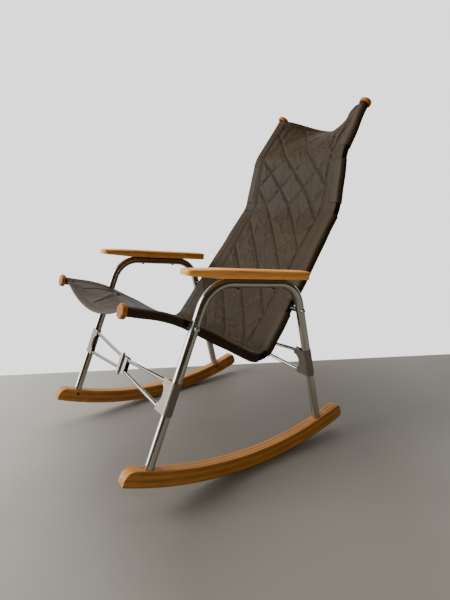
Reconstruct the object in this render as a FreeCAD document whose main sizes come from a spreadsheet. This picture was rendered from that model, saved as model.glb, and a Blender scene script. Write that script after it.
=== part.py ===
# Folding rocking chair: two bent tube sides on wooden rockers, joined by folding gates, with a sling seat
import FreeCAD, Part
import Sketcher
import math
import os
from FreeCAD import Placement, Rotation, Vector

doc = FreeCAD.newDocument("FoldingRocker")

# Driving dimensions in millimetres and degrees. The side view is drawn with the arms level: Y runs to the
# rear and Z up from the lowest point of the rocker's arc. restTilt then rolls the chair back to its balance.
driving = {
    "legSpan": 550,            # between the centre lines of the left and right legs
    "restTilt": 9.17,          # how far the chair leans back when it stands empty
    "rockerRadius": 940,       # running face of the rocker
    "rockerDepth": 40,
    "rockerWidth": 30,
    "rockerFrontAngle": 16.2,  # arc of the rocker in front of its lowest point
    "rockerRearAngle": 26.3,
    "noseRound": 28,           # upper front corner of the rocker
    "noseTip": 4,
    "heelTop": 12,
    "heelBottom": 15,
    "rockerEase": 2,           # small rounding along the rocker's long edges
    "socketDepth": 26,         # how far the tube feet go into the rocker
    "socketClearance": 0.05,
    "tubeDia": 23,
    "tubeWall": 1.5,
    "frontFootReach": 194,     # where the front leg meets the top of the rocker
    "rearFootReach": 324,
    "frontCrownReach": 73,     # corner of the front leg and the level run
    "rearCrownReach": 191,
    "crownHeight": 485,
    "crownBend": 80,
    "armFrontReach": 139,
    "armRearReach": 226,
    "armThickness": 21,
    "armWidth": 46,
    "armInset": 8,             # the arm's middle lies this far inside the tube's
    "armTipThickness": 13,
    "armTaper": 86,            # length of the thinned front underside
    "armTopDrop": 3,           # how far the upper face comes down at the tip
    "armCornerRear": 7,
    "armCornerFront": 15,
    "armEase": 4,
    "railDia": 19,
    "railWall": 1.2,
    "railGapSeat": 14,         # between a side tube and its rail at the front knob, across the chair
    "railGapCorner": 8.5,      # at the low rear corner
    "railGapShoulder": 43,     # at the lower bend of the back
    "railGapNeck": 54.5,       # at the upper bend of the back
    "railGapTop": 71,
    "seatTipReach": 257,       # front end of the rail
    "seatTipHeight": 417,
    "seatBendReach": 144,
    "seatBendHeight": 400,
    "cornerReach": 131,
    "cornerHeight": 269,
    "shoulderReach": 376,
    "shoulderHeight": 689,
    "neckReach": 391,
    "neckHeight": 853,
    "topReach": 469,
    "topHeight": 1002,
    "seatBendRadius": 350,
    "cornerBendRadius": 55,
    "backBendRadius": 90,
    "knobDia": 35,
    "knobThickness": 12.5,
    "knobEdge": 4,
    "knobStem": 26,
    "stemClearance": 0.05,
    "boltDia": 6,
    "boltHeadDia": 13,
    "boltHeadHeight": 4.5,
    "boltClearance": 0.1,
    "spacerDia": 13,
    "nutDia": 11,
    "nutGap": 0.45,            # the rail runs aslant past the flat face of its nut
    "threadClearance": 0.05,
    "nutHeight": 9,
    "screwDia": 5,
    "screwHeadDia": 9,
    "screwHeadHeight": 2.5,
    "armScrewSpacing": 110,
    "armScrewCentre": 62,      # middle of the two arm screws along Y
    "armScrewBite": 16,        # length of screw in the wood
    "footScrewDepth": 13,      # below the top of the rocker, along the leg
    "frontGateHeight": 164,    # middle of the front gate, along the leg from the rocker
    "rearGateHeight": 178,
    "gateHeight": 77,          # height of the sheet bracket
    "sheet": 1.2,
    "hingeClearance": 0.08,
    "rodDia": 9.5,
    "rodWall": 1.2,
    "rodSpreadLeg": 62,        # between the rods at the bracket's mouth
    "rodSpreadHinge": 32,      # between the rods at the hinge leaf
    "bracketReach": 38,        # from the leg's centre line to the mouth
    "scallopReach": 24,        # from the leg's centre line to the bottom of the cut-out
    "scallopHeight": 44,
    "scallopRound": 16,
    "leafLength": 24,
    "leafHeight": 46,
    "leafGap": 0.3,            # each leaf stops this far from the chair's middle
    "knuckleGap": 0.3,
    "pinDia": 5,
    "pinBallDia": 9,
    "stopPinDia": 4,
    "stopPinProud": 4,
    "stopGap": 0.3,
    "sleeveDia": 22.4,         # fabric tunnel round a rail
    "sleeveWall": 1.3,
    "sleeveBoltGap": 36,       # free length of rail round a bolt
    "slingNotch": 22,          # the sling is cut back this far round each rail nut
    "sleeveCornerGap": 34,     # free length of rail in the low corner
    "sleeveBendGap": 38,       # free length of rail in each bend of the back
    "slingThickness": 2.4,
    "slingGap": 0.3,
    "slingSag": 8,             # depth of the stretched sling below its rails
    "frontHemSag": 37,         # the hems are slack and hang deeper
    "frontHemCut": 5,          # how far the middle of the front hem lies behind its ends
    "topHemSag": 72,
    "slackReach": 150,         # length of sling over which the slack dies away
    "slingHemSetback": 12,     # from the knob to the hem
    "knobGap": 0.3,
}

notes = doc.addObject("Spreadsheet::Sheet", "Sizes")
for row, (name, value) in enumerate(driving.items(), start=1):
    notes.set("A%d" % row, name)
    notes.set("B%d" % row, str(value))
    notes.setAlias("B%d" % row, name)
doc.recompute()


def size(name):
    return float(notes.get(name))


def bind(item, prop, text):
    item.setExpression(prop, text)


finished = []


def finish(item, label, place=None):
    """Names a finished sub-part and puts it in its place."""
    item.Label = label
    if place is not None:
        item.Placement = place
    finished.append(item)
    return item


# The side view's directions and the places that several pieces share
radius = size("rockerRadius")
innerRadius = radius - size("rockerDepth")
tubeRadius = size("tubeDia") / 2
railRadius = size("railDia") / 2
halfSpan = size("legSpan") / 2
tilt = -size("restTilt")
rest = Placement(Vector(0, 0, radius), Rotation(Vector(1, 0, 0), tilt)).multiply(
    Placement(Vector(0, 0, -radius), Rotation()))


def onRocker(reach):
    """A point of the rocker's top face at the distance reach from its lowest point, in the plane x = 0."""
    return Vector(0, reach, radius - math.sqrt(innerRadius ** 2 - reach ** 2))


def unit(vector):
    return vector.multiply(1 / vector.Length) if vector.Length else vector


frontFoot = onRocker(-size("frontFootReach"))
rearFoot = onRocker(size("rearFootReach"))
frontCrown = Vector(0, -size("frontCrownReach"), size("crownHeight"))
rearCrown = Vector(0, size("rearCrownReach"), size("crownHeight"))
frontUp = unit(frontCrown - frontFoot)
rearUp = unit(rearCrown - rearFoot)


# Bent tubes are swept along straight runs joined by tangent arcs
def bentEdges(points, radii):
    """Straight runs between the points, with an arc of the given radius at each inner point."""
    edges = []
    start = points[0]
    for corner, bend, following in zip(points[1:-1], radii, points[2:]):
        back = unit(start - corner) if not edges else unit(points[points.index(corner) - 1] - corner)
        ahead = unit(following - corner)
        half = math.acos(max(-1, min(1, back.dot(ahead)))) / 2
        reach = bend / math.tan(half)
        first = corner + back * reach
        last = corner + ahead * reach
        middle = corner + unit(back + ahead) * (bend / math.sin(half) - bend)
        edges.append(Part.LineSegment(start, first).toShape())
        edges.append(Part.Arc(first, middle, last).toShape())
        start = last
    edges.append(Part.LineSegment(start, points[-1]).toShape())
    return edges


def sweepRound(edges, outer):
    """A round bar of the given radius along the edges."""
    wire = Part.Wire(edges)
    first = edges[0]
    origin = first.valueAt(first.FirstParameter)
    along = first.tangentAt(first.FirstParameter)
    profile = Part.Wire(Part.makeCircle(outer, origin, along))
    return wire.makePipeShell([profile], True, False)


def along(edges, distance):
    """The point and the direction at a distance along the edges."""
    for edge in edges[:-1]:
        if distance <= edge.Length:
            break
        distance -= edge.Length
    else:
        edge = edges[-1]
    share = edge.FirstParameter + (edge.LastParameter - edge.FirstParameter) * distance / edge.Length
    return edge.valueAt(share), edge.tangentAt(share)


def stretch(edges, start, end):
    """The part of the edges between two distances."""
    kept = []
    for edge in edges:
        low = max(0, start)
        high = min(edge.Length, end)
        if high - low > 0.01:
            rate = (edge.LastParameter - edge.FirstParameter) / edge.Length
            kept.append(edge.Curve.toShape(edge.FirstParameter + low * rate, edge.FirstParameter + high * rate))
        start -= edge.Length
        end -= edge.Length
    return kept


def rodBetween(start, end, outer):
    """A round bar between two points."""
    return Part.makeCylinder(outer, (end - start).Length, start, end - start)


def shapeItem(name, shape):
    item = doc.addObject("Part::Feature", name)
    item.Shape = shape
    return item


def mirrored(item, label):
    """The same piece on the sitter's right."""
    twin = doc.addObject("Part::Mirroring", label)
    twin.Source = item
    twin.Base = Vector(0, 0, 0)
    twin.Normal = Vector(1, 0, 0)
    return finish(twin, label)


def bothSides(item, stem, place=None):
    finish(item, stem + "_left", place)
    return mirrored(item, stem + "_right")


# The rail's route on the left side, from the front knob to the top knob
def railPoint(gapName, reachName, heightName, sign=1):
    across = halfSpan - tubeRadius - size(gapName) - railRadius
    return Vector(across, sign * size(reachName), size(heightName))


railRoute = [
    railPoint("railGapSeat", "seatTipReach", "seatTipHeight", -1),
    railPoint("railGapSeat", "seatBendReach", "seatBendHeight", -1),
    railPoint("railGapCorner", "cornerReach", "cornerHeight"),
    railPoint("railGapShoulder", "shoulderReach", "shoulderHeight"),
    railPoint("railGapNeck", "neckReach", "neckHeight"),
    railPoint("railGapTop", "topReach", "topHeight"),
]
railBends = [size("seatBendRadius"), size("cornerBendRadius"), size("backBendRadius"), size("backBendRadius")]
railEdges = bentEdges(railRoute, railBends)
railLength = sum(edge.Length for edge in railEdges)


def crossing(foot, up):
    """Where the rail passes a leg in the side view: its distance along the rail and the leg's point."""
    best = None
    for step in range(2001):
        distance = railLength * step / 2000
        point, heading = along(railEdges, distance)
        across = (point - foot).cross(up).x
        if best is None or abs(across) < best[0]:
            best = (abs(across), distance, point)
    distance, point = best[1], best[2]
    onLeg = foot + up * (point - foot).dot(up)
    return distance, point, Vector(halfSpan, onLeg.y, onLeg.z)


frontBoltAt, frontRailPoint, frontLegPoint = crossing(frontFoot, frontUp)
rearBoltAt, rearRailPoint, rearLegPoint = crossing(rearFoot, rearUp)
cornerAt = sum(edge.Length for edge in railEdges[:3]) + railEdges[3].Length / 2
shoulderAt = sum(edge.Length for edge in railEdges[:5]) + railEdges[5].Length / 2
neckAt = sum(edge.Length for edge in railEdges[:7]) + railEdges[7].Length / 2
boltLines = [(frontLegPoint, frontRailPoint), (rearLegPoint, rearRailPoint)]


# The screws' and pins' places on the side tube
def legPoint(foot, up, distance):
    point = foot + up * distance
    return Vector(halfSpan, point.y, point.z)


footScrewPoints = [legPoint(frontFoot, frontUp, -size("footScrewDepth")),
                   legPoint(rearFoot, rearUp, -size("footScrewDepth"))]
stopDrop = size("gateHeight") / 2 + size("stopGap") + size("stopPinDia") / 2
stopPoints = [legPoint(frontFoot, frontUp, size("frontGateHeight") - stopDrop),
              legPoint(rearFoot, rearUp, size("rearGateHeight") - stopDrop)]
armScrewReaches = [size("armScrewCentre") + sign * size("armScrewSpacing") / 2 for sign in (-1, 1)]


def crossHole(point, dia, start, end):
    """A round cutter along X through a point, between two distances from it."""
    return Part.makeCylinder(dia / 2, end - start, point + Vector(start, 0, 0), Vector(1, 0, 0))


# Side tubes
def sideTube():
    low = [Vector(halfSpan, p.y, p.z) for p in (frontFoot - frontUp * size("socketDepth"), frontCrown,
                                                 rearCrown, rearFoot - rearUp * size("socketDepth"))]
    edges = bentEdges(low, [size("crownBend"), size("crownBend")])
    outer = sweepRound(edges, tubeRadius)
    tube = outer.cut(sweepRound(edges, tubeRadius - size("tubeWall")))
    cutters = []
    for leg, rail in boltLines:
        cutters.append(crossHole(leg, size("boltDia") + 2 * size("boltClearance"), -tubeRadius - 1, tubeRadius + 1))
    for point in footScrewPoints:
        cutters.append(crossHole(point, size("screwDia") + 2 * size("boltClearance"), -tubeRadius - 1, 0))
    for point in stopPoints:
        cutters.append(crossHole(point, size("stopPinDia"), -tubeRadius - 1, tubeRadius + 1))
    for reach in armScrewReaches:
        base = Vector(halfSpan, reach, size("crownHeight") - tubeRadius - 1)
        cutters.append(Part.makeCylinder(size("screwDia") / 2 + size("boltClearance"), 2 * tubeRadius + 2, base))
    return tube.cut(Part.makeCompound(cutters))


bothSides(shapeItem("SideTube", sideTube()), "side_tube", rest)


# Sketches lie in a body's own side plane: their X is the chair's Y and their Y is the chair's Z
def sideSketch(body, name, role="YZ_Plane"):
    sketch = body.newObject("Sketcher::SketchObject", name)
    plane = [part for part in body.Origin.OriginFeatures if part.Role == role][0]
    sketch.AttachmentSupport = [(plane, "")]
    sketch.MapMode = "FlatFace"
    return sketch


def lock(sketch, geo, pos, acrossText, upText):
    """Holds a point of the sketch at two expressions."""
    point = sketch.getPoint(geo, pos)
    if acrossText is not None:
        index = sketch.addConstraint(Sketcher.Constraint("DistanceX", -1, 1, geo, pos, point.x))
        sketch.setExpression("Constraints[%d]" % index, acrossText)
    if upText is not None:
        index = sketch.addConstraint(Sketcher.Constraint("DistanceY", -1, 1, geo, pos, point.y))
        sketch.setExpression("Constraints[%d]" % index, upText)


def polygon(sketch, corners):
    """A closed outline of straight lines, each corner given as its place and the expressions that hold it."""
    count = len(corners)
    places = [Vector(corner[0], corner[1], 0) for corner in corners]
    for index in range(count):
        sketch.addGeometry(Part.LineSegment(places[index], places[(index + 1) % count]))
    for index in range(count):
        sketch.addConstraint(Sketcher.Constraint("Coincident", index, 2, (index + 1) % count, 1))
    for index, corner in enumerate(corners):
        lock(sketch, index, 1, corner[2], corner[3])


def symmetricPad(body, sketch, text):
    pad = body.newObject("PartDesign::Pad", body.Name + "Pad")
    pad.Profile = sketch
    pad.SideType = "Symmetric"
    pad.setExpression("Length", text)
    doc.recompute()
    return pad


def edgesNear(shape, test):
    return ["Edge%d" % (index + 1) for index, edge in enumerate(shape.Edges) if test(edge)]


def rounded(body, base, names, text):
    fillet = body.newObject("PartDesign::Fillet", body.Name + "Round")
    fillet.Base = (base, names)
    fillet.setExpression("Radius", text)
    doc.recompute()
    return fillet


def drilled(body, name, place, diaText, lengthText):
    """Cuts a round hole from a body, its axis along the placement's Z."""
    hole = body.newObject("PartDesign::SubtractiveCylinder", name)
    hole.setExpression("Radius", "(%s) / 2" % diaText)
    hole.setExpression("Height", lengthText)
    hole.Placement = place
    doc.recompute()
    return hole


def turned(axis, toward):
    """The turn that takes the axis to a direction."""
    return Rotation(axis, toward)


# Rockers
def rocker():
    body = doc.addObject("PartDesign::Body", "Rocker")
    sketch = sideSketch(body, "RockerArc")
    front = math.radians(-90 - size("rockerFrontAngle"))
    rear = math.radians(-90 + size("rockerRearAngle"))
    centre = Vector(0, radius, 0)
    for arcRadius in (radius, innerRadius):
        circle = Part.Circle(centre, Vector(0, 0, 1), arcRadius)
        sketch.addGeometry(Part.ArcOfCircle(circle, front, rear))
    radiusTexts = ["Sizes.rockerRadius", "(Sizes.rockerRadius - Sizes.rockerDepth)"]
    for geo, text in enumerate(radiusTexts):
        lock(sketch, geo, 3, "0", "Sizes.rockerRadius")
        index = sketch.addConstraint(Sketcher.Constraint("Radius", geo, radius if geo == 0 else innerRadius))
        sketch.setExpression("Constraints[%d]" % index, text)
        lock(sketch, geo, 1, "-%s * sin(Sizes.rockerFrontAngle * 1 deg)" % text, None)
        lock(sketch, geo, 2, "%s * sin(Sizes.rockerRearAngle * 1 deg)" % text, None)
    for pos in (1, 2):
        sketch.addGeometry(Part.LineSegment(sketch.getPoint(0, pos), sketch.getPoint(1, pos)))
        line = 1 + pos
        sketch.addConstraint(Sketcher.Constraint("Coincident", 0, pos, line, 1))
        sketch.addConstraint(Sketcher.Constraint("Coincident", 1, pos, line, 2))
    pad = symmetricPad(body, sketch, "Sizes.rockerWidth")

    def cornerTest(end, depth):
        reach = (radius - depth) * math.sin(math.radians(end))
        return lambda edge: (abs(edge.BoundBox.XLength - size("rockerWidth")) < 0.01
                             and abs(edge.CenterOfMass.y - reach) < 0.1
                             and abs((edge.CenterOfMass - Vector(0, 0, radius)).Length - radius + depth) < 0.1)

    ends = [(-size("rockerFrontAngle"), size("rockerDepth"), "Sizes.noseRound"),
            (-size("rockerFrontAngle"), 0, "Sizes.noseTip"),
            (size("rockerRearAngle"), size("rockerDepth"), "Sizes.heelTop"),
            (size("rockerRearAngle"), 0, "Sizes.heelBottom")]
    last = pad
    for end, depth, text in ends:
        last = rounded(body, last, edgesNear(last.Shape, cornerTest(end, depth)), text)
    half = size("rockerWidth") / 2
    longEdges = edgesNear(last.Shape, lambda edge: abs(abs(edge.CenterOfMass.x) - half) < 0.01
                          and edge.BoundBox.XLength < 0.01)
    rounded(body, last, longEdges, "Sizes.rockerEase")
    for name, foot, up in (("FrontSocket", frontFoot, frontUp), ("RearSocket", rearFoot, rearUp)):
        place = Placement(foot - up * size("socketDepth"), turned(Vector(0, 0, 1), up))
        drilled(body, name, place, "Sizes.tubeDia + 2 * Sizes.socketClearance", "2 * Sizes.socketDepth")
    for name, point in zip(("FrontScrewHole", "RearScrewHole"), footScrewPoints):
        base = Vector(-half - 1, point.y, point.z)
        place = Placement(base, turned(Vector(0, 0, 1), Vector(1, 0, 0)))
        drilled(body, name, place, "Sizes.screwDia + 2 * Sizes.boltClearance", "Sizes.rockerWidth / 2 + 1")
        head = Placement(base, turned(Vector(0, 0, 1), Vector(1, 0, 0)))
        drilled(body, name + "Sink", head, "Sizes.screwHeadDia + 2 * Sizes.boltClearance",
                "Sizes.screwHeadHeight + 1")
    return body


bothSides(rocker(), "rocker", rest.multiply(Placement(Vector(halfSpan, 0, 0), Rotation())))


# Armrests
def armrest():
    body = doc.addObject("PartDesign::Body", "Armrest")
    sketch = sideSketch(body, "ArmSide")
    bottom = size("crownHeight") + tubeRadius
    top = bottom + size("armThickness")
    front = -size("armFrontReach")
    rear = size("armRearReach")
    tipTop = top - size("armTopDrop")
    tipBottom = tipTop - size("armTipThickness")
    bottomText = "(Sizes.crownHeight + Sizes.tubeDia / 2)"
    topText = "(%s + Sizes.armThickness)" % bottomText
    tipTopText = "(%s - Sizes.armTopDrop)" % topText
    polygon(sketch, [
        (rear, bottom, "Sizes.armRearReach", bottomText),
        (rear, top, "Sizes.armRearReach", topText),
        (front + size("armTaper"), top, "Sizes.armTaper - Sizes.armFrontReach", topText),
        (front, tipTop, "-Sizes.armFrontReach", tipTopText),
        (front, tipBottom, "-Sizes.armFrontReach", "%s - Sizes.armTipThickness" % tipTopText),
        (front + size("armTaper"), bottom, "Sizes.armTaper - Sizes.armFrontReach", bottomText),
    ])
    last = symmetricPad(body, sketch, "Sizes.armWidth")
    half = size("armWidth") / 2
    for reach, text in ((rear, "Sizes.armCornerRear"), (front, "Sizes.armCornerFront")):
        names = edgesNear(last.Shape, lambda edge: abs(edge.CenterOfMass.y - reach) < 0.01
                          and abs(abs(edge.CenterOfMass.x) - half) < 0.01)
        last = rounded(body, last, names, text)
    level = bottom + 0.01
    names = edgesNear(last.Shape, lambda edge: edge.BoundBox.ZMax > bottom + size("armThickness") / 3
                      and edge.BoundBox.ZLength < size("armTopDrop") + 0.01
                      and edge.CenterOfMass.z > tipTop - 0.01
                      and not (edge.BoundBox.XLength > size("armWidth") - 0.01 and edge.CenterOfMass.y < rear - 1
                               and edge.CenterOfMass.y > front + 1))
    last = rounded(body, last, names, "Sizes.armEase")
    for index, reach in enumerate(armScrewReaches):
        place = Placement(Vector(size("armInset"), reach, bottom - 1), Rotation())
        drilled(body, "ArmScrewHole%d" % index, place, "Sizes.screwDia + 2 * Sizes.boltClearance",
                "Sizes.armScrewBite + 1.5")
    return body


bothSides(armrest(), "armrest", rest.multiply(Placement(Vector(halfSpan - size("armInset"), 0, 0), Rotation())))


# Sling rails
def rail():
    outer = sweepRound(railEdges, railRadius)
    tube = outer.cut(sweepRound(railEdges, railRadius - size("railWall")))
    cutters = [crossHole(point, size("boltDia") + 2 * size("boltClearance"), -railRadius - 4, railRadius + 4)
               for leg, point in boltLines]
    return tube.cut(Part.makeCompound(cutters))


bothSides(shapeItem("Rail", rail()), "sling_rail", rest)


# Turned pieces: an outline of radius and height, spun about Z
def spun(name, corners):
    body = doc.addObject("PartDesign::Body", name)
    sketch = sideSketch(body, name + "Outline", "XZ_Plane")
    polygon(sketch, corners)
    turn = body.newObject("PartDesign::Revolution", name + "Turn")
    turn.Profile = sketch
    turn.ReferenceAxis = (sketch, ["V_Axis"])
    turn.Angle = 360
    doc.recompute()
    return body, turn


def atHeight(shape, height, outer):
    return edgesNear(shape, lambda edge: abs(edge.CenterOfMass.z - height) < 0.01
                     and edge.BoundBox.ZLength < 0.01 and abs(edge.BoundBox.XLength - 2 * outer) < 0.01)


# Wooden knobs with a stem in the end of the rail
def knob(name):
    stem = railRadius - size("railWall") - size("stemClearance")
    cap = size("knobDia") / 2
    thick = size("knobThickness")
    stemText = "Sizes.railDia / 2 - Sizes.railWall - Sizes.stemClearance"
    body, turn = spun(name, [
        (0, -size("knobStem"), "0", "-Sizes.knobStem"),
        (stem, -size("knobStem"), stemText, "-Sizes.knobStem"),
        (stem, 0, stemText, "0"),
        (cap, 0, "Sizes.knobDia / 2", "0"),
        (cap, thick, "Sizes.knobDia / 2", "Sizes.knobThickness"),
        (0, thick, "0", "Sizes.knobThickness"),
    ])
    last = rounded(body, turn, atHeight(turn.Shape, thick, cap), "Sizes.knobEdge")
    rounded(body, last, atHeight(last.Shape, 0, cap), "Sizes.knobEdge * 0.6")
    return body


seatEnd, seatHeading = along(railEdges, 0)
topEnd, topHeading = along(railEdges, railLength)
seatOut = seatHeading.negative()
for stem, name, end, heading in (("seat_knob", "SeatKnob", seatEnd, seatOut), ("back_knob", "BackKnob", topEnd, topHeading)):
    place = Placement(end + heading * size("knobGap"), turned(Vector(0, 0, 1), heading))
    bothSides(knob(name), stem, rest.multiply(place))


# Rail bolts, spacers and nuts
def domedBolt(name, shankLength):
    head = size("boltHeadDia") / 2
    shank = size("boltDia") / 2
    high = size("boltHeadHeight")
    body, turn = spun(name, [
        (0, -shankLength, "0", None),
        (shank, -shankLength, "Sizes.boltDia / 2", None),
        (shank, 0, "Sizes.boltDia / 2", "0"),
        (head, 0, "Sizes.boltHeadDia / 2", "0"),
        (head, high, "Sizes.boltHeadDia / 2", "Sizes.boltHeadHeight"),
        (0, high, "0", "Sizes.boltHeadHeight"),
    ])
    sketch = body.Group[0]
    for geo in (0, 1):
        index = sketch.addConstraint(Sketcher.Constraint("DistanceY", -1, 1, geo, 1, -shankLength))
    doc.recompute()
    rounded(body, turn, atHeight(turn.Shape, high, head), "Sizes.boltHeadHeight * 0.8")
    return body


for stem, name, (leg, railAt) in (("front", "Front", boltLines[0]), ("rear", "Rear", boltLines[1])):
    head = Vector(leg.x + tubeRadius, leg.y, leg.z)
    nutFace = Vector(railAt.x - railRadius - size("nutGap"), leg.y, leg.z)
    bite = size("nutHeight") * 0.7
    place = Placement(head, turned(Vector(0, 0, 1), Vector(1, 0, 0)))
    bothSides(domedBolt(name + "RailBolt", head.x - nutFace.x + bite), stem + "_rail_bolt", rest.multiply(place))
    tube = rodBetween(leg, Vector(railAt.x, leg.y, leg.z), size("spacerDia") / 2)
    bore = rodBetween(leg, Vector(railAt.x, leg.y, leg.z), size("boltDia") / 2 + size("boltClearance"))
    legUp = frontUp if stem == "front" else rearUp
    legBar = Part.makeCylinder(tubeRadius, 200, leg - legUp * 100, legUp)
    boltDistance = frontBoltAt if stem == "front" else rearBoltAt
    railBar = sweepRound(stretch(railEdges, boltDistance - 30, boltDistance + 30), railRadius)
    spacer = tube.cut(Part.makeCompound([bore, legBar, railBar]))
    bothSides(shapeItem(name + "RailSpacer", spacer), stem + "_rail_spacer", rest)


def capNut(name):
    """A hexagon nut with a domed cap over a blind threaded hole."""
    hexagon = doc.addObject("Part::Prism", name + "Hex")
    hexagon.Polygon = 6
    hexagon.setExpression("Circumradius", "Sizes.nutDia / 2")
    hexagon.setExpression("Height", "Sizes.nutHeight * 0.55")
    dome = doc.addObject("Part::Sphere", name + "Dome")
    dome.setExpression("Radius", "Sizes.nutDia * 0.42")
    dome.setExpression("Placement.Base.z", "Sizes.nutHeight - Sizes.nutDia * 0.42")
    whole = doc.addObject("Part::Fuse", name + "Solid")
    whole.Base = hexagon
    whole.Tool = dome
    bore = doc.addObject("Part::Cylinder", name + "Bore")
    bore.setExpression("Radius", "Sizes.boltDia / 2 + Sizes.threadClearance")
    bore.setExpression("Height", "Sizes.nutHeight * 0.7 + 1.1")
    bore.setExpression("Placement.Base.z", "-1")
    nut = doc.addObject("Part::Cut", name)
    nut.Base = whole
    nut.Tool = bore
    return nut


for stem, name, (leg, railAt) in (("front", "Front", boltLines[0]), ("rear", "Rear", boltLines[1])):
    face = Vector(railAt.x - railRadius - size("nutGap"), leg.y, leg.z)
    place = Placement(face, turned(Vector(0, 0, 1), Vector(-1, 0, 0)))
    bothSides(capNut(name + "Nut"), stem + "_rail_nut", rest.multiply(place))
doc.recompute()


# Wood screws under the arms and across the feet, and the stop pins
def screw(name, length):
    """A screw with a flat countersunk head, its top at the origin and its shank along -Z."""
    head = size("screwHeadDia") / 2
    shank = size("screwDia") / 2
    deep = size("screwHeadHeight")
    outline = [Vector(0, 0, 0), Vector(head, 0, 0), Vector(head, 0, -deep / 2), Vector(shank, 0, -deep),
               Vector(shank, 0, -length + shank), Vector(0, 0, -length), Vector(0, 0, 0)]
    return Part.Face(Part.makePolygon(outline)).revolve(Vector(0, 0, 0), Vector(0, 0, 1), 360)


armScrewLength = 2 * tubeRadius + size("armScrewBite") + size("screwHeadHeight")
armScrews = []
for reach in armScrewReaches:
    single = screw("ArmScrew", armScrewLength)
    single.Placement = Placement(Vector(halfSpan, reach, size("crownHeight") - tubeRadius - size("screwHeadHeight")),
                                 turned(Vector(0, 0, 1), Vector(0, 0, -1)))
    armScrews.append(single)
bothSides(shapeItem("ArmScrews", Part.makeCompound(armScrews)), "arm_screws", rest)

footScrews = []
for point in footScrewPoints:
    single = screw("FootScrew", size("rockerWidth") / 2 + tubeRadius / 3 - tubeRadius + size("tubeWall") * 2)
    single.Placement = Placement(Vector(halfSpan - size("rockerWidth") / 2, point.y, point.z),
                                 turned(Vector(0, 0, 1), Vector(-1, 0, 0)))
    footScrews.append(single)
bothSides(shapeItem("FootScrews", Part.makeCompound(footScrews)), "foot_screws", rest)

stopReach = tubeRadius + size("stopPinProud")
stopPins = [crossHole(point, size("stopPinDia"), -stopReach, stopReach) for point in stopPoints]
bothSides(shapeItem("StopPins", Part.makeCompound(stopPins)), "gate_stop_pins", rest)


# Gates. A gate is drawn with X from the leg's centre line to the chair's middle, Y to the front and Z along
# the leg. The same gate turned over fits the other side.
sleeveIn = tubeRadius + size("hingeClearance")
sleeveOut = sleeveIn + size("sheet")
rodFront = sleeveIn - size("rodDia") / 2
backIn = sleeveIn - size("rodDia")
knuckleIn = size("pinDia") / 2 + size("hingeClearance")
knuckleOut = knuckleIn + size("sheet")
pinFront = sleeveIn + knuckleOut
sleeveText = "(Sizes.tubeDia / 2 + Sizes.hingeClearance)"
knuckleText = "(Sizes.pinDia / 2 + Sizes.hingeClearance)"


def block(name, lengthText, widthText, heightText, xText, yText):
    """A box centred on the gate's mid height, with its low X and low Y corner given."""
    box = doc.addObject("Part::Box", name)
    bind(box, "Length", lengthText)
    bind(box, "Width", widthText)
    bind(box, "Height", heightText)
    bind(box, "Placement.Base.x", xText)
    bind(box, "Placement.Base.y", yText)
    bind(box, "Placement.Base.z", "-(%s) / 2" % heightText)
    return box


def roundBar(name, radiusText, heightText, xText="0", yText="0"):
    bar = doc.addObject("Part::Cylinder", name)
    bind(bar, "Radius", radiusText)
    bind(bar, "Height", heightText)
    bind(bar, "Placement.Base.x", xText)
    bind(bar, "Placement.Base.y", yText)
    bind(bar, "Placement.Base.z", "-(%s) / 2" % heightText)
    return bar


def joined(kind, name, first, second):
    item = doc.addObject(kind, name)
    item.Base = first
    item.Tool = second
    return item


def bracket(name):
    """Sheet wrapped round the leg, with two flat walls that hold the rods and a scalloped inner edge."""
    wall = "Sizes.sheet"
    outer = joined("Part::Fuse", name + "Outer",
                   roundBar(name + "Wrap", sleeveText + " + Sizes.sheet", "Sizes.gateHeight"),
                   block(name + "Flats", "Sizes.bracketReach", "Sizes.rodDia + 2 * Sizes.sheet",
                         "Sizes.gateHeight", "0", sleeveText + " - Sizes.rodDia - Sizes.sheet"))
    inner = joined("Part::Fuse", name + "Inner",
                   roundBar(name + "Bore", sleeveText, "Sizes.gateHeight + 2"),
                   block(name + "Channel", "Sizes.bracketReach + 1", "Sizes.rodDia",
                         "Sizes.gateHeight + 2", "0", sleeveText + " - Sizes.rodDia"))
    folded = joined("Part::Cut", name + "Folded", outer, inner)
    scallop = doc.addObject("Part::Box", name + "Scallop")
    bind(scallop, "Length", "Sizes.bracketReach")
    bind(scallop, "Width", "Sizes.tubeDia * 2")
    bind(scallop, "Height", "Sizes.scallopHeight")
    bind(scallop, "Placement.Base.x", "Sizes.scallopReach")
    bind(scallop, "Placement.Base.y", "-Sizes.tubeDia")
    bind(scallop, "Placement.Base.z", "-Sizes.scallopHeight / 2")
    doc.recompute()
    softened = doc.addObject("Part::Fillet", name + "Softened")
    softened.Base = scallop
    round_ = size("scallopRound")
    softened.Edges = [(index + 1, round_, round_) for index, edge in enumerate(scallop.Shape.Edges)
                      if edge.BoundBox.YLength > 1 and abs(edge.CenterOfMass.x - size("scallopReach")) < 0.01]
    return joined("Part::Cut", name, folded, softened)


rodStart = tubeRadius + 7
rodEnd = halfSpan - size("leafGap") - size("sheet")
mouth = size("bracketReach")
leafMouth = halfSpan - size("leafLength")
rodSlope = (size("rodSpreadHinge") - size("rodSpreadLeg")) / 2 / (leafMouth - mouth)


def rodShape(sign):
    """A thin tube from the bracket to the hinge leaf, above (1) or below (-1) the middle."""
    def height(reach):
        return sign * (size("rodSpreadLeg") / 2 + rodSlope * (reach - mouth))
    start = Vector(rodStart, rodFront, height(rodStart))
    end = Vector(rodEnd - size("rodDia") / 2 * abs(rodSlope), rodFront, height(rodEnd))
    outer = rodBetween(start, end, size("rodDia") / 2)
    return outer.cut(rodBetween(start, end, size("rodDia") / 2 - size("rodWall")))


knucklePitch = (size("leafHeight") + size("knuckleGap")) / 4


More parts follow.
